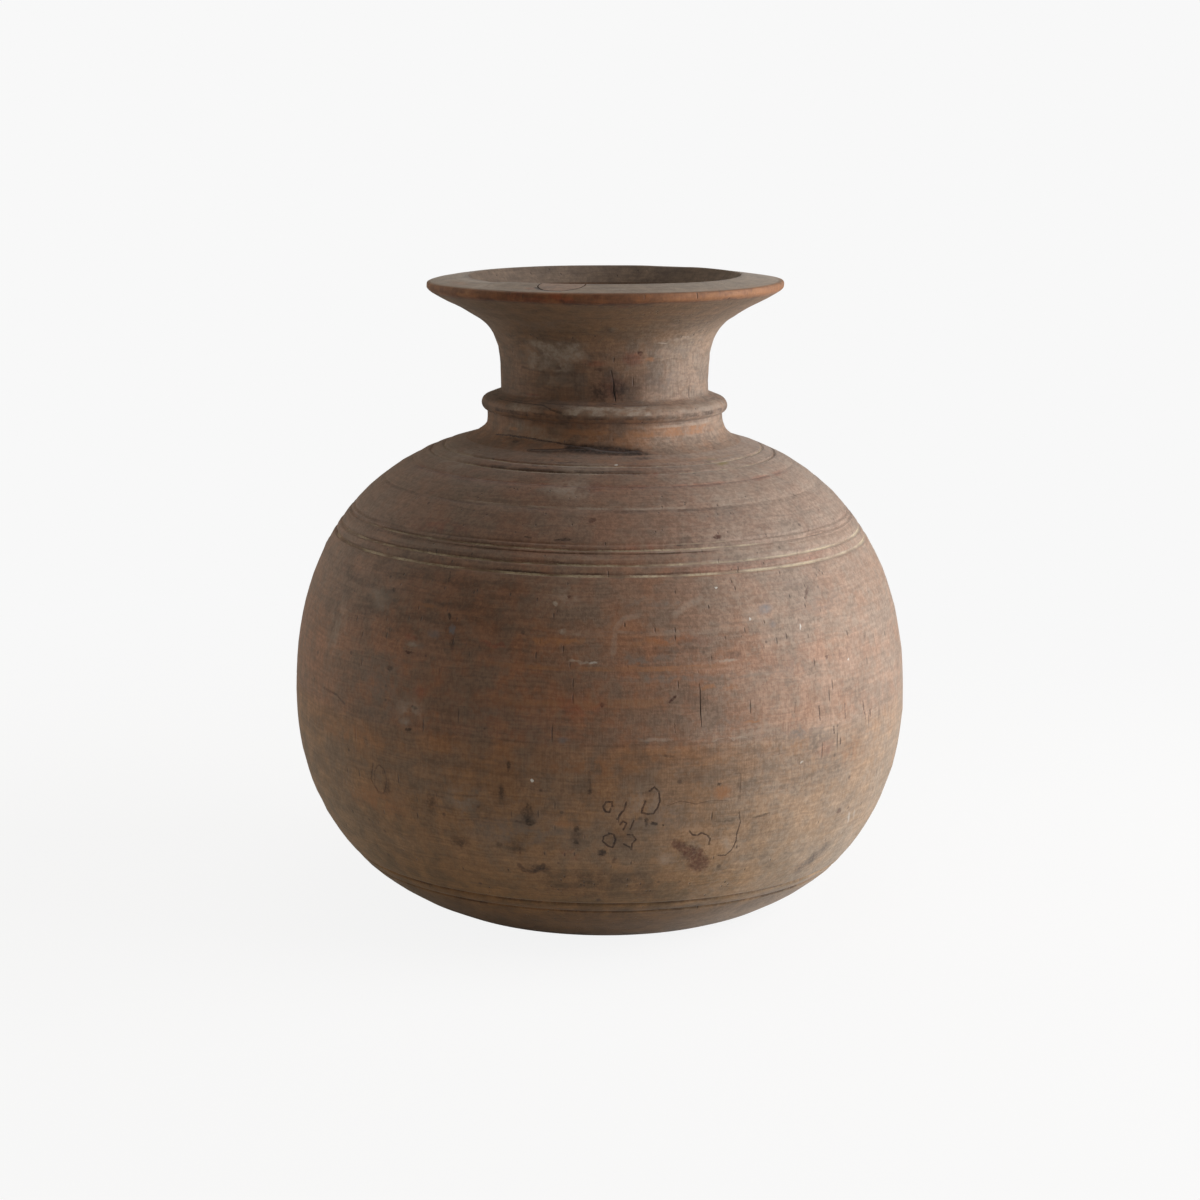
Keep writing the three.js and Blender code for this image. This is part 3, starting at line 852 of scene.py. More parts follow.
# What each kind of mark does to the wood: its colour, how it is laid over, and its height in mm
markKinds = {
    "grey": ((0.20, 0.158, 0.13), "MIX", 0), "orange": ((0.38, 0.17, 0.07), "MIX", 0),
    "reddish": ((1.05, 0.74, 0.68), "MULTIPLY", 0), "soot": ((0.18, 0.155, 0.145), "MULTIPLY", 0),
    "blue": ((0.17, 0.175, 0.20), "MIX", 0), "olive": ((0.24, 0.18, 0.055), "MIX", 0),
    "pale": ((0.42, 0.345, 0.28), "MIX", 0.02), "spot": ((0.32, 0.18, 0.15), "MULTIPLY", -0.05),
    # The line kind is insect trails and dirt, and above the grooves also painted shadow
    # The near-black kind is painted shade inside cracks and along the patch's gap
    "line": ((0.25, 0.2, 0.18), "MULTIPLY", -0.12), "gapShade": ((0.05, 0.03, 0.024), "MIX", -0.2),
    "dust": ((0.56, 0.47, 0.33), "MIX", 0.05), "white": ((0.72, 0.70, 0.66), "MIX", 0.05),
}

usualStain = (0.9, 0)  # softness and turn

# Marks on the belly. Stains: degrees from the front, arc, half width, half height, strength, and where they differ
# from the usual ones softness and turn.
# Rings: degrees, arc, half width, half height, thickness as a share, strength. Strokes: points, half width, strength.
bellyMarks = {
    "grey": {"stains": [
        (37.5, 141, 13, 7, 0.7, 0.8), (42, 138, 18, 12, 0.45), (-42, 160, 34, 24, 0.5), (-46, 200, 20, 9, 0.6),
        (22, 152, 24, 7, 0.35), (-8, 269.5, 28, 2.4, 0.5, 0.8), (48, 200, 24, 12, 0.4), (8, 181, 22, 3.2, 0.6, 0.7),
        (-14, 100, 34, 13, 0.5), (14, 172, 46, 2.3, 0.55, 0.7), (12, 206, 34, 2, 0.5, 0.8),
        (9, 145, 11, 1.8, 0.5, 0.7), (-36, 146, 6, 4, 0.55, 0.7), (-35, 181, 7, 2.6, 0.5, 0.7),
        (10, 108, 26, 10, 0.4), (35, 172, 22, 9, 0.35), (41, 208, 22, 6, 0.4), (33, 254, 26, 8, 0.4),
        (-20, 155, 16, 6, 0.4), (160, 150, 30, 22, 0.6), (-110, 200, 30, 16, 0.5), (105, 184, 20, 12, 0.5),
        (-160, 250, 30, 12, 0.5)]},
    "reddish": {"stains": [
        (-36.5, 184, 5, 2.4, 0.7, 0.6), (-38, 242, 30, 7, 0.6), (-20, 185, 16, 2.4, 0.7, 0.6), (10, 236, 18, 5, 0.6),
        (-1.5, 273, 5, 7, 0.6, 0.8), (44, 132, 9, 5, 0.5, 0.7, 12), (-4, 160, 24, 9, 0.6), (-4, 89, 16, 4, 0.6, 0.8),
        (-33, 160, 5, 4, 0.5, 0.7), (15, 189, 24, 3, 0.4, 0.7), (17, 284, 2, 3, 0.7, 0.7), (150, 210, 24, 10, 0.6),
        (-120, 240, 26, 9, 0.6)]},
    "orange": {"stains": [
        (22, 118.8, 6.5, 5, 0.8, 0.7), (27.5, 150.3, 6, 0.9, 0.5, 0.6), (-50, 132, 44, 8, 0.5, 0.8),
        (-8, 188.5, 22, 2.6, 0.7, 0.7), (11, 188.5, 20, 3, 0.6, 0.7), (-45, 104, 34, 10, 0.6),
        (21, 167, 13, 2.2, 0.6, 0.6), (-2, 133, 30, 6, 0.6, 0.8), (-6, 105, 8, 2.4, 0.5, 0.8),
        (-34, 199.5, 8, 1.4, 0.5, 0.7), (52, 126, 20, 8, 0.4), (110, 132, 40, 7, 0.6, 0.8),
        (-140, 190, 30, 4, 0.6, 0.7), (170, 188, 20, 3, 0.6, 0.7)]},
    "soot": {"stains": [
        (-21, 112, 22, 13, 0.45), (-12.5, 108, 5, 8.8, 0.75), (-17, 118, 4, 8.5, 0.45), (-26, 91, 8, 6, 0.5),
        (-15, 91, 7, 6, 0.5), (-3.8, 99, 3.6, 8.8, 0.6), (-31, 109, 4.5, 7, 0.65), (-11, 79.5, 8.5, 4, 0.7, 0.8),
        (-41, 112, 4, 7.5, 0.6), (4, 98, 8.8, 8.8, 0.35), (13, 185, 30, 5, 0.35), (-28, 190, 8, 8, 0.4),
        (-12.1, 105, 3.8, 2.8, 0.95, 0.6), (40, 42, 60, 14, 0.3), (-14, 104.6, 3, 0.9, 0.5, 0.7),
        (-12.5, 111.6, 1.1, 3.6, 0.75, 0.6, -4), (-11.7, 111, 0.9, 3, 0.6, 0.6, 4),
        (-16.9, 119, 1.6, 5.4, 0.75, 0.6, 3), (-15.5, 131, 1.5, 3.6, 0.7, 0.6), (-31, 109, 2.4, 3.2, 0.5, 0.7),
        (-26, 90, 3, 4.6, 0.65, 0.7), (-18, 91.5, 3.6, 2, 0.5, 0.7), (-14.4, 89.5, 1.1, 4, 0.7, 0.6),
        (-3.8, 102.5, 1.9, 2.2, 0.8, 0.5), (-3.9, 95.5, 1.9, 1.3, 0.8, 0.5), (0.7, 90.2, 2.8, 2.4, 0.95, 0.5),
        (3, 86, 1.4, 3.2, 0.5, 0.7, -20), (9.8, 105.3, 2, 1.3, 0.95, 0.5), (8.4, 106.3, 1.1, 3, 0.8, 0.5),
        (11.4, 104.6, 0.9, 0.9, 0.85, 0.5), (-1.5, 121, 1.7, 2.2, 0.65, 0.6), (48.4, 71, 8.9, 5.4, 0.7, 0.8, 42),
        (46, 66.5, 7, 5, 0.6, 0.8, 40), (51, 76, 7, 4.5, 0.5, 0.8, 45), (-2, 74, 34, 9, 0.55), (-5, 132, 16, 6, 0.35),
        (41, 134, 14, 7, 0.35), (-20, 200, 12, 14, 0.4), (20, 238, 12, 8, 0.35), (50, 176, 12, 8, 0.35),
        (41, 292, 14, 7, 0.3), (10, 292, 12, 7, 0.35), (-35.3, 142, 3, 1.1, 0.8, 0.5, 10),
        (-34, 152.7, 2.8, 0.8, 0.75, 0.5, -10), (-40.4, 168, 3, 1.8, 0.65, 0.7), (-43.5, 204, 1.8, 1.3, 0.7, 0.6),
        (-42.5, 198.5, 4, 2.4, 0.5, 0.8), (-28.9, 195.8, 1.3, 2.5, 0.85, 0.6, 6), (-27.4, 184, 1.8, 4, 0.6, 0.7),
        (-50, 190, 5, 2, 0.4, 0.8), (-8, 240.5, 5.5, 1.1, 0.85, 0.6, 6), (-16, 240.8, 2.6, 0.9, 0.75, 0.6),
        (-8, 236.8, 2, 0.9, 0.6, 0.6), (17, 237, 2.2, 1.1, 0.6, 0.6), (25.1, 122.5, 1.2, 5.2, 0.35, 0.7),
        (21.2, 122.8, 1.6, 1, 0.75, 0.5, 30), (30.4, 104.8, 6, 1, 0.7, 0.7, 5), (23, 104.4, 6, 0.9, 0.45, 0.7),
        (12, 137.5, 3.6, 1, 0.6, 0.6), (24.6, 181, 5.5, 2.6, 0.4, 0.7), (-14, 295.8, 30, 1.7, 0.6, 0.8),
        (-24, 289, 32, 1, 0.5, 0.7), (58.5, 179, 2, 2.4, 0.35, 0.7), (15.5, 300.5, 5, 3.4, 0.6, 0.8),
        (118, 120, 24, 12, 0.5), (-105, 96, 30, 10, 0.45), (168, 104, 18, 16, 0.5), (140, 230, 14, 3, 0.5, 0.8, 4),
        (-130, 176, 6, 8, 0.5, 0.7, 20), (-165, 84, 4, 7, 0.6, 0.6)]},
    "spot": {"stains": [
        (26.3, 240.6, 2.6, 1.6, 0.9, 0.4, -8), (12.7, 162.9, 3.2, 0.9, 0.9, 0.5, 38), (51, 97.5, 2.4, 2, 0.7, 0.5),
        (14.9, 93, 6.5, 3.4, 0.7, 0.4, -38), (17.6, 88, 7.6, 5.6, 0.78, 0.4, -35), (19.2, 82.4, 6.8, 6.8, 0.74, 0.4),
        (-2, 251.7, 2.2, 1.6, 0.6, 0.4), (-5.8, 209, 1.1, 1.1, 0.7, 0.5), (45.2, 174.3, 1.2, 1, 0.6, 0.5),
        (43.7, 205.2, 1.5, 4, 0.6, 0.5, -24), (-36.4, 177.2, 3.4, 0.8, 0.85, 0.5), (0.6, 161, 1.6, 1.4, 0.7, 0.6),
        (132, 150, 3, 2, 0.8, 0.5), (-150, 132, 12, 7, 0.6, 0.5, 15)]},
    "pale": {"stains": [
        (-47, 199, 8.9, 6, 0.35), (-58, 285, 24, 14, 0.35), (-8, 288, 14, 8, 0.35), (-35, 151, 12, 8, 0.4),
        (-24, 113, 14, 11, 0.35), (-6, 209, 9.5, 7, 0.4), (-9, 272, 18, 11, 0.45), (31, 197, 15, 8, 0.35),
        (-58, 180, 14, 24, 0.3), (8, 118, 13, 9, 0.3), (-8.3, 205.5, 1.4, 1.6, 0.8, 0.7, 20),
        (-6.7, 193, 2.2, 1.8, 0.6, 0.7), (23, 178.8, 8, 1, 0.6, 0.7), (-3, 179.6, 12, 1, 0.6, 0.7),
        (29, 172, 12, 2, 0.4, 0.8), (10, 145, 9, 1.2, 0.4, 0.7), (23.5, 143, 14, 0.6, 0.4, 0.6),
        (-36, 180.8, 5.5, 1.4, 0.4, 0.8), (-36, 145.5, 4.5, 2.4, 0.4), (24, 92, 3, 8, 0.4, 0.9, 30),
        (12.5, 86, 6, 5, 0.4), (-46, 196, 8, 4, 0.35), (130, 196, 10, 4, 0.5, 0.8), (-100, 150, 8, 3, 0.4, 0.8)],
        "strokes": [
            ([(7, 200.6), (4.4, 199.2), (2.9, 195), (2.4, 184)], 1.9, 0.24),
            ([(14, 200.4), (16.4, 204.6), (19.2, 207.6)], 2.2, 0.26)]},
    "white": {"stains": [
        (23, 212, 1.2, 0.7, 0.9, 0.5), (28.8, 196.2, 0.7, 1, 0.7, 0.5), (39.8, 190, 0.7, 1.6, 0.8, 0.6),
        (-11.4, 125, 0.9, 0.9, 0.9, 0.5), (4.7, 293.4, 0.9, 0.9, 0.9, 0.5), (-1, 179.4, 2, 0.8, 0.5, 0.6),
        (51.5, 170.8, 1, 0.7, 0.6, 0.6), (38.2, 128.2, 1.6, 0.7, 0.5, 0.6, 20), (56, 91, 1.5, 5, 0.4, 0.7, 8),
        (58, 91.5, 1.1, 4, 0.35, 0.7, 8), (-125, 206, 1.2, 1, 0.8, 0.5)]},
    "blue": {"stains": [
        (32.5, 200.2, 5.5, 3.6, 0.6, 0.8), (33.5, 193, 3, 2.4, 0.35), (-27.8, 190, 2.1, 3.2, 0.7, 0.6),
        (-31.5, 187, 4.8, 3, 0.35, 0.7), (-6, 144.6, 3.6, 2.6, 0.35, 0.8), (150, 196, 5, 4, 0.6, 0.8)]},
    "olive": {"stains": [
        (45, 289.6, 6, 2.4, 0.8, 0.7), (43, 295, 4.4, 1.2, 0.6, 0.7, -10), (-135, 289, 6, 2.2, 0.7, 0.7)]},
    "line": {
        "rings": [
            (-42.5, 115, 4, 7, 0.12, 0.4), (128, 108, 3.4, 4.6, 0.2, 0.8), (133, 98, 2.4, 3, 0.25, 0.7),
            (-148, 116, 4, 3.6, 0.2, 0.7)],
        "strokes": [
            ([(2.4, 114.4), (2.3, 116.3), (1.4, 116.4), (0.8, 114), (1.2, 111.6), (1.9, 111.4), (2.1, 113)], 0.68, 1),
            ([(4.8, 116.2), (4.4, 112.4), (3.8, 110.4), (3.3, 108)], 0.66, 1),
            ([(8.1, 116.4), (7.6, 113), (7.5, 111), (8.6, 110.2), (9.6, 110.3)], 0.7, 1),
            ([(8.7, 121.4), (9.6, 123.2), (10.4, 121), (10.6, 116.4), (10.3, 113.6), (9.7, 110.6)], 0.66, 1),
            ([(3.8, 105.2), (4.3, 106.8), (4.9, 105.8), (4.4, 102.6)], 0.64, 0.95),
            ([(6.2, 107), (5.6, 102.8)], 0.55, 0.85),
            ([(1.9, 100.2), (1, 99.2), (0.8, 96.6), (1.9, 93.6), (2.6, 93.2), (3.1, 97.4), (2.7, 100.2), (1.9, 100.8)],
             0.66, 1),
            ([(4.6, 95), (5.6, 93.4), (6, 91.8), (6.1, 95.2), (6.7, 97.4), (6.1, 99.8), (5.2, 100)], 0.64, 0.95),
            ([(16.4, 100.6), (17, 98.6), (18, 98), (18.6, 99.2), (19.8, 98), (20.5, 95.8), (20.5, 92.8)], 0.64, 0.95),
            ([(12, 114), (14.2, 115.8), (15.6, 115.2), (17.2, 114), (19.8, 115.2), (23, 114.6)], 0.4, 0.5),
            ([(24.2, 127), (25.2, 127), (25.4, 118)], 0.6, 0.35),
            ([(25.6, 108), (26.1, 103), (25.8, 97), (25.9, 93), (25.5, 88.6), (24.4, 85.4), (22.8, 85.6)], 0.55, 0.85),
            ([(-14.9, 80.8), (-14.2, 77.8), (-12.6, 77), (-10.6, 79.6), (-10.2, 82)], 1.7, 0.6),
            ([(42.2, 152.6), (42.4, 146)], 0.55, 0.9), ([(49.3, 151), (49.3, 144)], 0.5, 0.85),
            ([(55.2, 149.4), (55.4, 145.4)], 0.6, 0.8), ([(55.8, 143.6), (56, 140.6)], 0.6, 0.8),
            ([(57.8, 144), (57.9, 141)], 0.8, 0.9), ([(46, 141.4), (46.2, 138.4)], 0.7, 0.85),
            ([(48, 135), (48.1, 132.6)], 0.8, 0.75), ([(36.6, 156.4), (36.3, 152)], 0.4, 0.5),
            ([(-44, 122), (-45, 114), (-43.4, 108)], 0.8, 0.5), ([(-31, 216), (-30.8, 212)], 0.7, 0.5),
            ([(-60, 150), (-55, 149.4), (-52, 146.4)], 0.9, 0.5), ([(62, 178), (62.3, 168)], 0.6, 0.4),
            ([(-1.6, 130), (-1.4, 122)], 1, 0.4), ([(13, 152), (13.1, 148)], 0.4, 0.5),
            ([(145, 120), (146, 104), (144, 92)], 0.8, 0.6), ([(-118, 140), (-117.6, 130)], 0.8, 0.8),
            ([(172, 160), (172.4, 150)], 0.7, 0.8)]},
}
# Lines round the belly: arc, half width, degrees from and to, strength
bellyRings = {
    "soot": [(212, 20, -68, -12, 0.42), (128, 8, -22, 60, 0.24), (70, 6, -16, 16, 0.45)],
    "reddish": [(273.4, 1.1, -75, 75, 0.7), (222.6, 1.4, 10, 60, 0.5)],
    "orange": [
        (176.6, 0.7, -26, 26, 0.6), (297, 1.2, -40, 60, 0.3), (218.6, 0.6, 12, 50, 0.4), (161, 1.6, -20, 16, 0.4)],
    "line": [
        # The lines a millimetre above grooves are partly dirt and partly painted shadow of the grooves' upper edges
        (grooveArc(5) + 1.1, 0.3, -26, 22, 0.85), (grooveArc(4) + 1, 0.45, -24, -2, 0.85), (232, 0.4, -14, 27, 0.6),
        (257.6, 0.6, -80, -6, 0.5), (257, 0.6, -2, 40, 0.5), (273.3, 0.5, -75, 75, 0.45),
        (grooveArc(1) + 1.4, 0.7, -48, 16, 0.8), (grooveArc(1) + 1.4, 0.4, -200, 200, 0.3),
        (263.6, 0.5, -28, -8, 0.3), (grooveArc(7), 0.8, -45, 60, 0.75), (grooveArc(6), 0.7, -50, 55, 0.7),
        (grooveArc(7), 0.7, 90, 190, 0.7), (257.5, 0.5, 110, 200, 0.6), (142.6, 0.4, -20, 45, 0.3),
        (50.5, 0.3, -30, 30, 0.5)],
    "pale": [
        (258.8, 0.35, -40, 40, 0.5), (289, 5, -90, -48, 0.35), (289, 4, -16, 6, 0.3), (192.5, 0.8, -10, 30, 0.3),
        (224.4, 0.4, 4, 34, 0.4), (229.4, 0.6, -60, 70, 0.2), (grooveArc(5) - 0.2, 0.8, 20, 95, 0.85),
        (grooveArc(4), 0.8, 14, 95, 0.8), (233.4, 0.8, 4, 36, 0.45), (180, 1.4, 120, 170, 0.35)],
    "dust": [
        (grooveArc(5) - 0.1, 0.42, -84, 95, 1), (grooveArc(5), 0.2, -200, 200, 0.5),
        (grooveArc(4) - 0.1, 0.36, -80, 95, 0.95), (grooveArc(4), 0.2, -200, 200, 0.4),
        (grooveArc(3), 0.24, -66, 40, 0.75), (grooveArc(2), 0.2, 6, 32, 0.4), (grooveArc(1), 0.22, -56, 80, 0.65),
        (grooveArc(0), 0.25, -50, 95, 0.8), (grooveArc(0), 0.2, -200, 200, 0.4), (grooveArc(3), 0.3, 100, 180, 0.5)],
}


# The belly's finish is made in regions, because one shader can't hold all the marks: degrees and arc, from and to
bellyRegions = {
    "leftFoot": (-90, -19, -90, 142), "frontFoot": (-19, -0.5, -90, 142), "trackFoot": (-0.5, 7, -90, 142),
    "blotchFoot": (7, 24, -90, 142), "rightFoot": (24, 90, -90, 142),
    "leftMiddle": (-90, -20, 142, 215), "frontMiddle": (-20, 12, 142, 215), "rightMiddle": (12, 90, 142, 215),
    "leftShoulder": (-90, 0, 215, 310), "rightShoulder": (0, 90, 215, 310),
    "backLeft": (-181, -90, -90, 310), "backRight": (90, 181, -90, 310),
}
wholeTurn = (-181, 181, -90, 900)


# How marks are broken up: the ragged grounds that they lie on, with size and shift, and the grit and streaks in them
markSurface = {
    "grounds": [("broad", 11.0, 8.0), ("coarse", 2.6, 2.6), ("fine", 1.4, 0.9)], "broadFrom": 9,
    "grit": {"Size": 1.6, "Low": 0.36, "High": 0.6, "Seed": 21.0}, "gritTones": (0.72, 1.15), "lineGrit": (0.6, 1),
    "thin": {"Reach": 8.0, "Thickness": 5.0, "Seed": 33.0, "Detail": 5.0}, "thinRange": (0.4, 0.58, 0.22, 1),
}


def reaches(region, angle, arc, wide, tall):
    first, last, low, high = region
    spread = math.degrees((wide + 4) / radiusAtArc(arc))
    return first - spread < angle < last + spread and low - tall - 5 < arc < high + tall + 5


def layMarks(tree, place, colour, height, marks, rings, region=wholeTurn):
    grounds = {}
    for name, size, shift in markSurface["grounds"]:
        flat = {"Solid": place["Solid"], "Unrolled": place["Unrolled"], "Size": size, "Shift": shift}
        grounds[name] = useEffect(tree, "ragged", flat)["Unrolled"]
    grit = mottled(tree, place, markSurface["grit"])
    thin = streaked(tree, place, place["Arc"], markSurface["thin"])

    def lay(effect, ground, under, values):
        made = useEffect(tree, effect, {"Under": under, "Unrolled": grounds[ground], **values})
        grounds[ground] = made["Unrolled"]
        return made["Mask"]

    def placed(angle, arc):
        return (math.radians(angle) * radiusAtArc(arc), arc, 0)

    for kind, (tint, how, lift) in markKinds.items():
        table = marks.get(kind, {})
        mask = 0.0
        for stain in table.get("stains", []):
            angle, arc, wide, tall, strength, softness, turn = *stain, *usualStain[len(stain) - 5:]
            if reaches(region, angle, arc, max(wide, tall), max(wide, tall)):
                ground = "broad" if max(wide, tall) > markSurface["broadFrom"] else "coarse"
                mask = lay("stain", ground, mask, {
                    "Centre": placed(angle, arc), "Turn": (0, 0, math.radians(turn)), "Size": (wide, tall, 1),
                    "Softness": softness, "Strength": strength})
        for angle, arc, wide, tall, thickness, strength in table.get("rings", []):
            if reaches(region, angle, arc, wide * 1.3, tall * 1.3):
                mask = lay("insectRing", "coarse", mask, {
                    "Centre": placed(angle, arc), "Size": (wide, tall, 1), "Thickness": thickness,
                    "Strength": strength})
        for points, halfWidth, strength in table.get("strokes", []):
            for start, end in zip(points, points[1:]):
                if reaches(region, *start, 2, abs(end[1] - start[1])):
                    mask = lay("stroke", "fine", mask, {
                        "Start": placed(*start), "End": placed(*end), "Half Width": halfWidth, "Strength": strength})
        if mask != 0.0:
            mask = maths(tree, "MULTIPLY", mask, ease(tree, grit, 0, 1, *markSurface["gritTones"]), clamp=True)
        line = 0.0
        for arc, halfWidth, first, last, strength in rings.get(kind, []):
            if reaches(region, (region[0] + region[1]) / 2, arc, 0, 0) and first < region[1] and last > region[0]:
                line = lay("ringLine", "fine", line, {
                    "Angle": place["Angle"], "Place": arc, "Half Width": halfWidth, "Softness": 0.2 + 0.8 * halfWidth,
                    "From": first, "To": last, "Strength": strength})
        if line != 0.0:
            line = product(tree, line, ease(tree, thin, *markSurface["thinRange"]),
                           ease(tree, grit, 0, 1, *markSurface["lineGrit"]))
            mask = maths(tree, "MAXIMUM", mask, line)
        if mask != 0.0:
            colour = blend(tree, mask, colour, opaque(tint), how)
            if lift:
                height = total(tree, [(mask, lift), (height, 1.0)])
    return colour, height


def finishWood(name, look, sheen=outsideWood["sheen"]):
    # A Principled wood whose colour, height in mm and roughness come from the look given
    material = bpy.data.materials.new(name)
    material.use_nodes = True
    tree = material.node_tree
    tree.nodes.clear()
    place = useEffect(tree, "potPlace")
    colour, height, roughness = look(tree, place)
    bump = addNode(tree, "Bump", {"Strength": 1.0, "Distance": mm, "Height": height})
    w = outsideWood
    shader = addNode(tree, "BsdfPrincipled", {
        "Base Color": colour, "Roughness": roughness, "Normal": bump.outputs[0], "Sheen Weight": sheen,
        "Sheen Roughness": w["sheenRoughness"], "Sheen Tint": opaque(w["sheenTint"])})
    output = addNode(tree, "OutputMaterial", {"Surface": shader.outputs[0]})
    output.is_active_output = True
    return material


def markedLook(tones, marks, rings, dusty=1.0, shadeAndVeil=1.0):
    # A look of aged wood with its marks
    def look(tree, place):
        colour, height, roughness = agedWood(tree, place, tones, dusty, shadeAndVeil)
        colour, height = layMarks(tree, place, colour, height, marks, rings)
        return colour, height, roughness
    return look


def bellyLook(tree, place, region):
    w = outsideWood
    colour, height, roughness = agedWood(tree, place, w["tones"])
    specks = useEffect(tree, "specks", {"Solid": place["Solid"], **w["specks"]})["Mask"]
    colour = blend(tree, product(tree, specks, w["speckShare"]), colour, opaque(w["speckColour"]))
    colour, height = layMarks(tree, place, colour, height, bellyMarks, bellyRings, region)
    return colour, height, roughness


neckMarks = {
    "grey": {"stains": [
        (-26, 378, 30, 8, 0.3), (34, 348, 12, 10, 0.6), (-40, 358, 24, 7, 0.4), (-24, 348, 18, 5, 0.4),
        (140, 370, 30, 8, 0.5)]},
    "reddish": {"stains": [
        (15, 358.5, 8, 4.6, 0.9, 0.7), (4, 345, 8.9, 8.9, 0.7), (-24, 358, 8.8, 1.2, 0.5, 0.7),
        (-5, 356, 7, 2.4, 0.7, 0.7), (-42, 339.5, 7, 1, 0.8, 0.7), (6, 401, 6, 2.4, 0.7, 0.8),
        (-120, 360, 12, 5, 0.8, 0.8)]},
    "orange": {"stains": [
        (-49, 316.6, 5, 1.3, 0.7, 0.6), (-1, 317.6, 4, 1.4, 0.5, 0.7), (25, 358, 4, 1.6, 0.5, 0.8),
        (120, 316, 12, 2, 0.7, 0.7)]},
    # The large soft soot stains on the neck's front under the flaring rim are partly soot and partly painted shade of
    # the rim; the long bands at arcs 395 and 402 are painted shade along the rim's underside
    "soot": {"stains": [
        (4.6, 344.5, 5, 8.5, 0.5, 0.8), (-2, 343, 8.8, 8.9, 0.8), (8, 344, 8.9, 8.9, 0.78), (17, 346, 8.9, 8.9, 0.5),
        (13, 340, 8, 6, 0.35), (3, 352, 8.9, 5, 0.35), (0, 336, 8.9, 3, 0.4), (30, 345, 8.9, 8, 0.25),
        (5.4, 343, 1.3, 5, 0.8, 0.5, -8), (5.4, 336, 1.5, 1.2, 0.7, 0.5), (9.4, 339, 1.4, 1, 0.6, 0.6),
        (-43.5, 310, 3.4, 1.5, 0.7, 0.6, 8), (2.6, 375, 2.4, 3.4, 0.4, 0.7), (-20, 395, 30, 1.4, 0.35, 0.8),
        (38, 382, 26, 10, 0.3), (15.5, 303.6, 5, 3.4, 0.6, 0.8), (0, 402, 60, 1.8, 0.4, 0.8), (165, 345, 10, 14, 0.6)],
        "strokes": [
        ([(-50, 352), (-34, 351)], 0.9, 0.35),
        ([(-64, 332.4), (-31, 332), (-25, 329), (-20, 327.8)], 0.8, 0.6),
                    ([(-14, 308.2), (-2, 307.2), (8, 305.8), (16, 303.2)], 5, 0.85),
                    ([(-32, 304.6), (-22, 305.4), (-12, 307.2)], 2.2, 0.7)]},
    "spot": {"strokes": [([(-15, 309), (-4, 308.2), (7, 307.4), (14, 305.6)], 3.6, 0.75)],
             "stains": [
        (18.6, 361.2, 1.9, 1.6, 0.85, 0.5), (-25, 353, 2.4, 1, 0.5, 0.6), (-3, 353, 2.6, 1.2, 0.6, 0.6)]},
    "pale": {"stains": [
        (30, 365.8, 3.4, 0.6, 0.8, 0.5, 2), (-44, 318, 8.8, 5, 0.35), (2, 376, 16, 3, 0.2),
        (43.5, 368.8, 4, 0.5, 0.7, 0.6), (26, 329.4, 3, 1.6, 0.5, 0.7), (9, 330.8, 6, 2, 0.5, 0.7)]},
    # Painted shade: near-black lines inside the collar's crack and along the neck's check
    "gapShade": {"strokes": [
        ([(-60, 312), (-49, 313.2), (-34, 313), (-19, 311.8), (-9, 310.4), (-3, 310.2)], 0.55, 0.75),
        ([(-10, 310.6), (3, 309.8), (9, 309), (14, 307.2)], 2.2, 0.92),
        ([(-31, 305.6), (-24, 306.8), (-16, 308.2), (-9, 309)], 0.9, 0.8),
        ([(3.6, 352.6), (4.6, 348), (5.6, 343), (5.9, 338.6)], 0.5, 0.6)]},
}
neckRings = {
    "orange": [(317.6, 1.5, 8, 68, 0.7), (317.6, 0.8, -26, 6, 0.4), (319, 1.2, -120, -80, 0.6)],
    "line": [
        (326, 0.6, -200, 200, 0.75), (334, 0.4, -200, 200, 0.4), (322, 0.8, -60, 20, 0.3), (373, 0.4, -40, 30, 0.25),
        (387, 0.4, -60, 50, 0.2)],
    "pale": [
        (361.5, 3.4, -46, -6, 0.7), (354.5, 2, -48, -14, 0.5), (347, 1.6, -38, -14, 0.3),
        (315.5, 2.4, -58, -16, 0.35), (330, 2.4, -22, 30, 0.85), (329, 1.4, -54, -28, 0.5), (330, 1.6, 24, 80, 0.5),
        (367.6, 0.5, 33, 52, 0.6), (320, 0.35, 8, 66, 0.5), (330.5, 1.8, 100, 190, 0.5)],
}
neckLook = markedLook(outsideWood["tones"], neckMarks, neckRings, 0.8, 0.25)

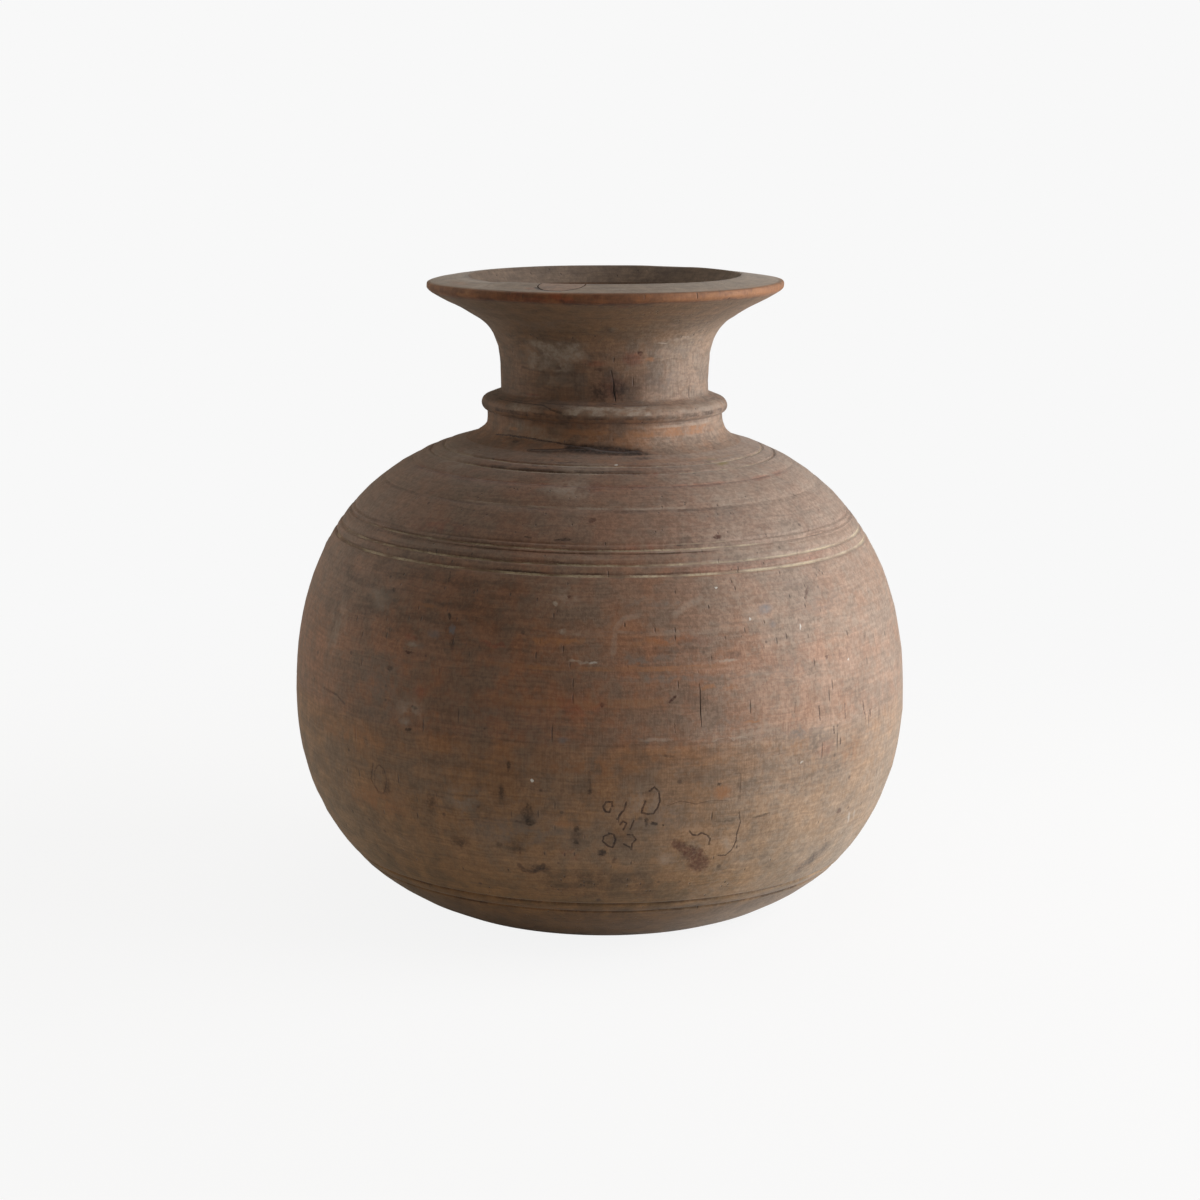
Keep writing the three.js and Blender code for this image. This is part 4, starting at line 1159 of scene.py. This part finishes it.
# The rim: its edge is raw orange wood, its land is worn pale and dusty
rimTones = [
    (0, (0.18, 0.095, 0.04), (0.138, 0.08, 0.038)), (402, (0.18, 0.095, 0.04), (0.138, 0.08, 0.038)),
    (404, (0.26, 0.105, 0.038), (0.165, 0.072, 0.033)), (409.5, (0.31, 0.125, 0.046), (0.195, 0.085, 0.04)),
    (411.5, (0.315, 0.232, 0.166), (0.24, 0.18, 0.13)), (426, (0.30, 0.226, 0.165), (0.225, 0.171, 0.127)),
    (429, (0.24, 0.17, 0.12), (0.17, 0.125, 0.09)), (430, (0.20, 0.14, 0.10), (0.14, 0.10, 0.075)),
]
rimMarks = {
    "reddish": {"stains": [(-18, 407, 30, 4, 0.9, 0.8), (-10, 424, 6, 2, 0.8, 0.8), (-26, 418, 4, 4, 0.8, 0.8)]},
    "orange": {"stains": [
        (44, 406, 56, 4.4, 0.58, 0.5), (46, 413, 40, 4, 0.35), (-62, 418, 18, 8, 0.35, 0.8),
        (-48, 407, 12, 2, 0.5, 0.7)]},
    # The long soot band at arc 404, on the edge's lower corner, is painted shade under the rim
    "soot": {"stains": [
        (-30, 423, 6, 2.5, 0.4, 0.7, 10), (3, 420, 14, 2, 0.25, 0.8), (0, 404, 62, 1.2, 0.4, 0.6),
        (-14, 405, 24, 1.8, 0.45, 0.7), (150, 420, 16, 4, 0.5, 0.8)]},
    "spot": {"stains": [(-27, 407, 12, 2.6, 0.3, 0.7), (-5, 408, 10, 2, 0.5, 0.8), (-38, 405, 5, 1.6, 0.5, 0.7)]},
    "pale": {"stains": [
        (-46, 417, 14, 5, 0.6, 0.8), (-14, 400.5, 1.8, 1.2, 0.6, 0.5), (60, 416, 18, 4, 0.4, 0.8),
        (5, 419, 16, 4, 0.4)]},
}
# Painted shadow along the front of the patch's gap
rimMarks["gapShade"] = {"strokes": [
    ([patchEdge(turn) for turn in (-62, -45, -30, -15, 0, 12)], 1.5, 0.95),
    ([patchEdge(turn, 0.3) for turn in (12, 30, 46)], 0.6, 0.8)]}
rimRings = {"line": [(403.4, 0.35, -70, 60, 0.5), (410.9, 0.25, -40, 50, 0.35), (416, 0.2, -200, 200, 0.2),
                     (421.5, 0.2, -200, 200, 0.25)]}
rimLook = markedLook(rimTones, rimMarks, rimRings, 0.5)

insideWood = {
    "bare": (0.17, 0.087, 0.047), "grime": (0.09, 0.052, 0.034), "dust": (0.245, 0.17, 0.115),
    "tool": {"Reach": 1.5, "Thickness": 3.0, "Seed": 70.0, "Detail": 3.0}, "patches": {"Size": 16.0, "Seed": 5.0},
    "toolShare": 0.6, "patchShare": 0.4, "grainTones": (0.75, 1.2), "dustArcs": (446, 428), "dustShare": 0.6,
    "toolHeight": 0.25, "fibreHeight": 0.08, "poreHeight": 0.2, "roughness": 0.72,
}


def insideLook(tree, place):
    w = insideWood
    tool = streaked(tree, place, place["Arc"], w["tool"])
    patches = mottled(tree, place, w["patches"])
    fibre = useEffect(tree, "woodFibre", {"Solid": place["Solid"]})
    cover = total(tree, [(ease(tree, tool, 0.3, 0.7), w["toolShare"]), (patches, w["patchShare"])])
    colour = blend(tree, cover, opaque(w["bare"]), opaque(w["grime"]))
    colour = blend(tree, 1.0, colour, ease(tree, fibre["Grain"], 0.25, 0.75, *w["grainTones"]), "MULTIPLY")
    dusty = product(tree, patches, ease(tree, place["Arc"], *w["dustArcs"]), w["dustShare"])
    colour = blend(tree, dusty, colour, opaque(w["dust"]))
    height = total(tree, [(tool, w["toolHeight"]), (fibre["Grain"], w["fibreHeight"]),
                          (fibre["Pores"], -w["poreHeight"])])
    return colour, height, total(tree, [(patches, 0.15), (w["roughness"], 1.0)])


baseWood = {
    "worn": (0.36, 0.23, 0.14), "wornPatches": {"Size": 18.0, "Seed": 14.0}, "wornShare": 0.5,
    "rings": {"Reach": 0.6, "Thickness": 1.2, "Seed": 90.0}, "ringTones": (0.8, 1.1), "ringHeight": 0.12,
}


def baseLook(tree, place):
    w = baseWood
    colour, height, roughness = agedWood(tree, place, outsideWood["tones"])
    worn = product(tree, mottled(tree, place, w["wornPatches"]), w["wornShare"])
    colour = blend(tree, worn, colour, opaque(w["worn"]))
    rings = streaked(tree, place, place["Arc"], w["rings"])
    colour = blend(tree, 1.0, colour, ease(tree, rings, 0.3, 0.7, *w["ringTones"]), "MULTIPLY")
    return colour, total(tree, [(rings, w["ringHeight"]), (height, 1.0)]), roughness


# Walls that the cutters left inside the checks and round the patch: near black, painted shade of the narrow gaps
cutWallShade = {"dark": (0.035, 0.02, 0.013), "light": (0.085, 0.045, 0.028), "fibreWidth": 0.4, "fibreHeight": 0.1,
            "roughness": 0.85}


def cutLook(tree, place):
    w = cutWallShade
    fibre = useEffect(tree, "woodFibre", {"Solid": place["Solid"], "Width": w["fibreWidth"]})
    colour = blend(tree, fibre["Grain"], opaque(w["dark"]), opaque(w["light"]))
    return colour, product(tree, fibre["Grain"], w["fibreHeight"]), w["roughness"]


patchWood = {
    "bare": (0.30, 0.165, 0.10), "grime": (0.22, 0.13, 0.085), "worn": (0.30, 0.21, 0.145), "wornShare": 0.45,
    "grainTurn": (0, 90, 25), "fibre": {"Width": 0.7, "Length": 12.0, "Seed": 17.0},  # grain across the rim
    "patches": {"Size": 5.0, "Seed": 8.0}, "wornPatches": {"Size": 2.6, "Low": 0.5, "High": 0.66, "Seed": 2.0},
    "grainTones": (0.68, 1.2), "fibreHeight": 0.15, "roughness": 0.65,
}


def patchLook(tree, place):
    w = patchWood
    turn = tuple(math.radians(part) for part in w["grainTurn"])
    turned = addNode(tree, "Mapping", {"Vector": place["Solid"], "Rotation": turn}).outputs[0]
    fibre = useEffect(tree, "woodFibre", {"Solid": turned, **w["fibre"]})
    patches = mottled(tree, place, w["patches"])
    worn = product(tree, mottled(tree, place, w["wornPatches"]), w["wornShare"])
    colour = blend(tree, patches, opaque(w["bare"]), opaque(w["grime"]))
    colour = blend(tree, worn, colour, opaque(w["worn"]))
    colour = blend(tree, 1.0, colour, ease(tree, fibre["Grain"], 0.25, 0.75, *w["grainTones"]), "MULTIPLY")
    height = product(tree, fibre["Grain"], w["fibreHeight"])
    return colour, height, total(tree, [(patches, 0.12), (w["roughness"], 1.0)])


cutWood = finishWood("cutWood", cutLook)
zoneFinish = {
    "base": finishWood("turnedBase", baseLook),
    "neck": finishWood("turnedNeck", neckLook, outsideWood["neckSheen"]),
    "rimEdge": finishWood("turnedRimEdge", rimLook, outsideWood["neckSheen"]),
    "rimLand": finishWood("turnedRimLand", rimLook),
    "mouth": finishWood("hollowedInside", insideLook), "patch": finishWood("patchTop", patchLook),
}
zoneFinish.update({"collar": zoneFinish["neck"], "hollow": zoneFinish["mouth"]})
bellyFinish = {}
for name, region in bellyRegions.items():
    bellyFinish[region] = finishWood(
        "turnedBelly" + name[0].upper() + name[1:], lambda tree, place: bellyLook(tree, place, region))
print("finishes", len(bpy.data.materials))


def finishAt(zone, centre, arc):
    # The finish of a face, by its zone, and on the belly by its region too
    if zone != "belly":
        return zoneFinish[zone]
    angle = math.degrees(math.atan2(centre.x, -centre.y))
    for (first, last, low, high), finish in bellyFinish.items():
        if first <= angle <= last and low <= arc <= high:
            return finish


def dress(piece, topFinish=None):
    # Faces that a cutter left keep the cut wood, the others take their zone's finish
    lowestRow = ageSurface(piece)
    mesh = piece.data
    cutSlot = next(i for i, material in enumerate(mesh.materials) if material == cutWood)
    slots = {}
    for face in mesh.polygons:
        if face.material_index != cutSlot:
            row = lowestRow[face.index]
            finish = topFinish or finishAt(zoneNames[rowZone[row]], face.center, rowArc[row])
            if finish.name not in slots:
                mesh.materials.append(finish)
                slots[finish.name] = len(mesh.materials) - 1
            face.material_index = slots[finish.name]
    selectOnly(piece)
    bpy.ops.object.shade_smooth_by_angle(angle=math.radians(vessel["smoothAngle"]))
    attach(piece, "root")
    print(piece.name, "triangles", sum(len(face.vertices) - 2 for face in mesh.polygons))


startFinish = bpy.data.materials.new("uncut")
potVessel = turnBlock("potVessel", vessel["turns"])
rimPatch = turnBlock("rimPatch", vessel["patchTurns"])
for piece in (potVessel, rimPatch):
    piece.data.materials.append(startFinish)
print("turned")
p = rimRepair
pocketCutter = rimPlug(p["radius"] + p["pocketSlack"], p["depth"])
cutter = joined([pocketCutter] + checkSpindles())
cutter.data.materials.append(cutWood)
cutWith(potVessel, cutter)
patchCutter = rimPlug(p["radius"] - p["seatGap"], p["depth"] - p["seatGap"])
patchCutter.data.materials.append(cutWood)
cutWith(rimPatch, patchCutter, "INTERSECT")
print("cut")
dress(potVessel)
dress(rimPatch, zoneFinish["patch"])
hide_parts("turned_vessel")
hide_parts("rim_patch")

# Studio: a pale floor that keeps a faint shadow, plain soft lamps, and the photograph's camera
studio = {
    "backdrop": 0.939, "nearBackdrop": 1.0, "floorColour": 0.8, "floorSize": 12,
    "shadowShare": 0.12, "shadowReach": (0.3, 0.8), "lampAim": (0, 0, 0.15),
    "worldLight": (0.17, 0.145, 0.113),
    "lamps": [  # name, place, size, watts, colour
        ("keyLamp", (1.3, -0.15, 0.5), 1.2, 24, (1, 1, 1)),
        ("leftLamp", (-1.3, 0.35, 0.6), 1.0, 3.8, (1, 0.95, 0.86)),
        ("topLamp", (0.1, 0.1, 1.6), 1.0, 2.4, (1, 1, 1)),
    ],
    "cameraPlace": (0, -1.320, 0.4034), "cameraAim": (-0.0005, 0, 0.1477), "lens": 81.525, "roll": 0.739,
}


def makeFloor():
    deselectAll()
    bpy.ops.mesh.primitive_plane_add(size=studio["floorSize"], location=(0, 0, 0))
    floor = bpy.context.object
    floor.name = "studioFloor"
    material = bpy.data.materials.new("studioFloorPaint")
    material.use_nodes = True
    tree = material.node_tree
    tree.nodes.clear()
    paint = addNode(tree, "BsdfDiffuse", {"Color": opaque((studio["floorColour"],) * 3)})
    place = addNode(tree, "TexCoord").outputs["Object"]
    away = lengthOf(tree, place)
    near, far = studio["shadowReach"]
    share = ease(tree, away, near, far, 1 - studio["shadowShare"], 1)
    brightness = ease(tree, away, near, far, studio["nearBackdrop"], studio["backdrop"])
    glow = addNode(tree, "Emission", {"Color": brightness, "Strength": 1.0})
    seen = addNode(tree, "MixShader", {0: share, 1: paint.outputs[0], 2: glow.outputs[0]})
    rays = addNode(tree, "LightPath").outputs
    backdrop = largest(tree, [rays["Is Camera Ray"], rays["Is Transmission Ray"]])
    mixed = addNode(tree, "MixShader", {0: backdrop, 1: paint.outputs[0], 2: seen.outputs[0]})
    addNode(tree, "OutputMaterial", {"Surface": mixed.outputs[0]})
    floor.data.materials.append(material)


def makeWorld():
    world = bpy.data.worlds.new("studioWorld")
    bpy.context.scene.world = world
    world.use_nodes = True
    tree = world.node_tree
    tree.nodes.clear()
    light = addNode(tree, "Background", {"Color": opaque(studio["worldLight"]), "Strength": 1.0})
    backdrop = addNode(tree, "Background", {"Color": opaque((studio["backdrop"],) * 3), "Strength": 1.0})
    rays = addNode(tree, "LightPath").outputs
    mixed = addNode(tree, "MixShader", {0: rays["Is Camera Ray"], 1: light.outputs[0], 2: backdrop.outputs[0]})
    addNode(tree, "OutputWorld", {"Surface": mixed.outputs[0]})


def makeLamps():
    for name, place, size, watts, colour in studio["lamps"]:
        lamp = bpy.data.lights.new(name, "AREA")
        lamp.size = size
        lamp.energy = watts
        lamp.color = colour
        holder = bpy.data.objects.new(name, lamp)
        holder.location = place
        holder.rotation_euler = (Vector(studio["lampAim"]) - Vector(place)).to_track_quat("-Z", "Y").to_euler()
        bpy.context.scene.collection.objects.link(holder)


def makeCamera():
    camera = bpy.data.cameras.new("photoCamera")
    camera.sensor_fit = "HORIZONTAL"
    camera.sensor_width = 36
    camera.lens = studio["lens"]
    holder = bpy.data.objects.new("photoCamera", camera)
    place = Vector(studio["cameraPlace"])
    facing = (Vector(studio["cameraAim"]) - place).to_track_quat("-Z", "Y")
    holder.location = place
    holder.rotation_mode = "QUATERNION"
    holder.rotation_quaternion = facing @ Quaternion((0, 0, 1), math.radians(studio["roll"]))
    bpy.context.scene.collection.objects.link(holder)
    bpy.context.scene.camera = holder


makeFloor()
makeWorld()
makeLamps()
makeCamera()
bpy.context.scene.view_settings.view_transform = "Standard"
print("studio")
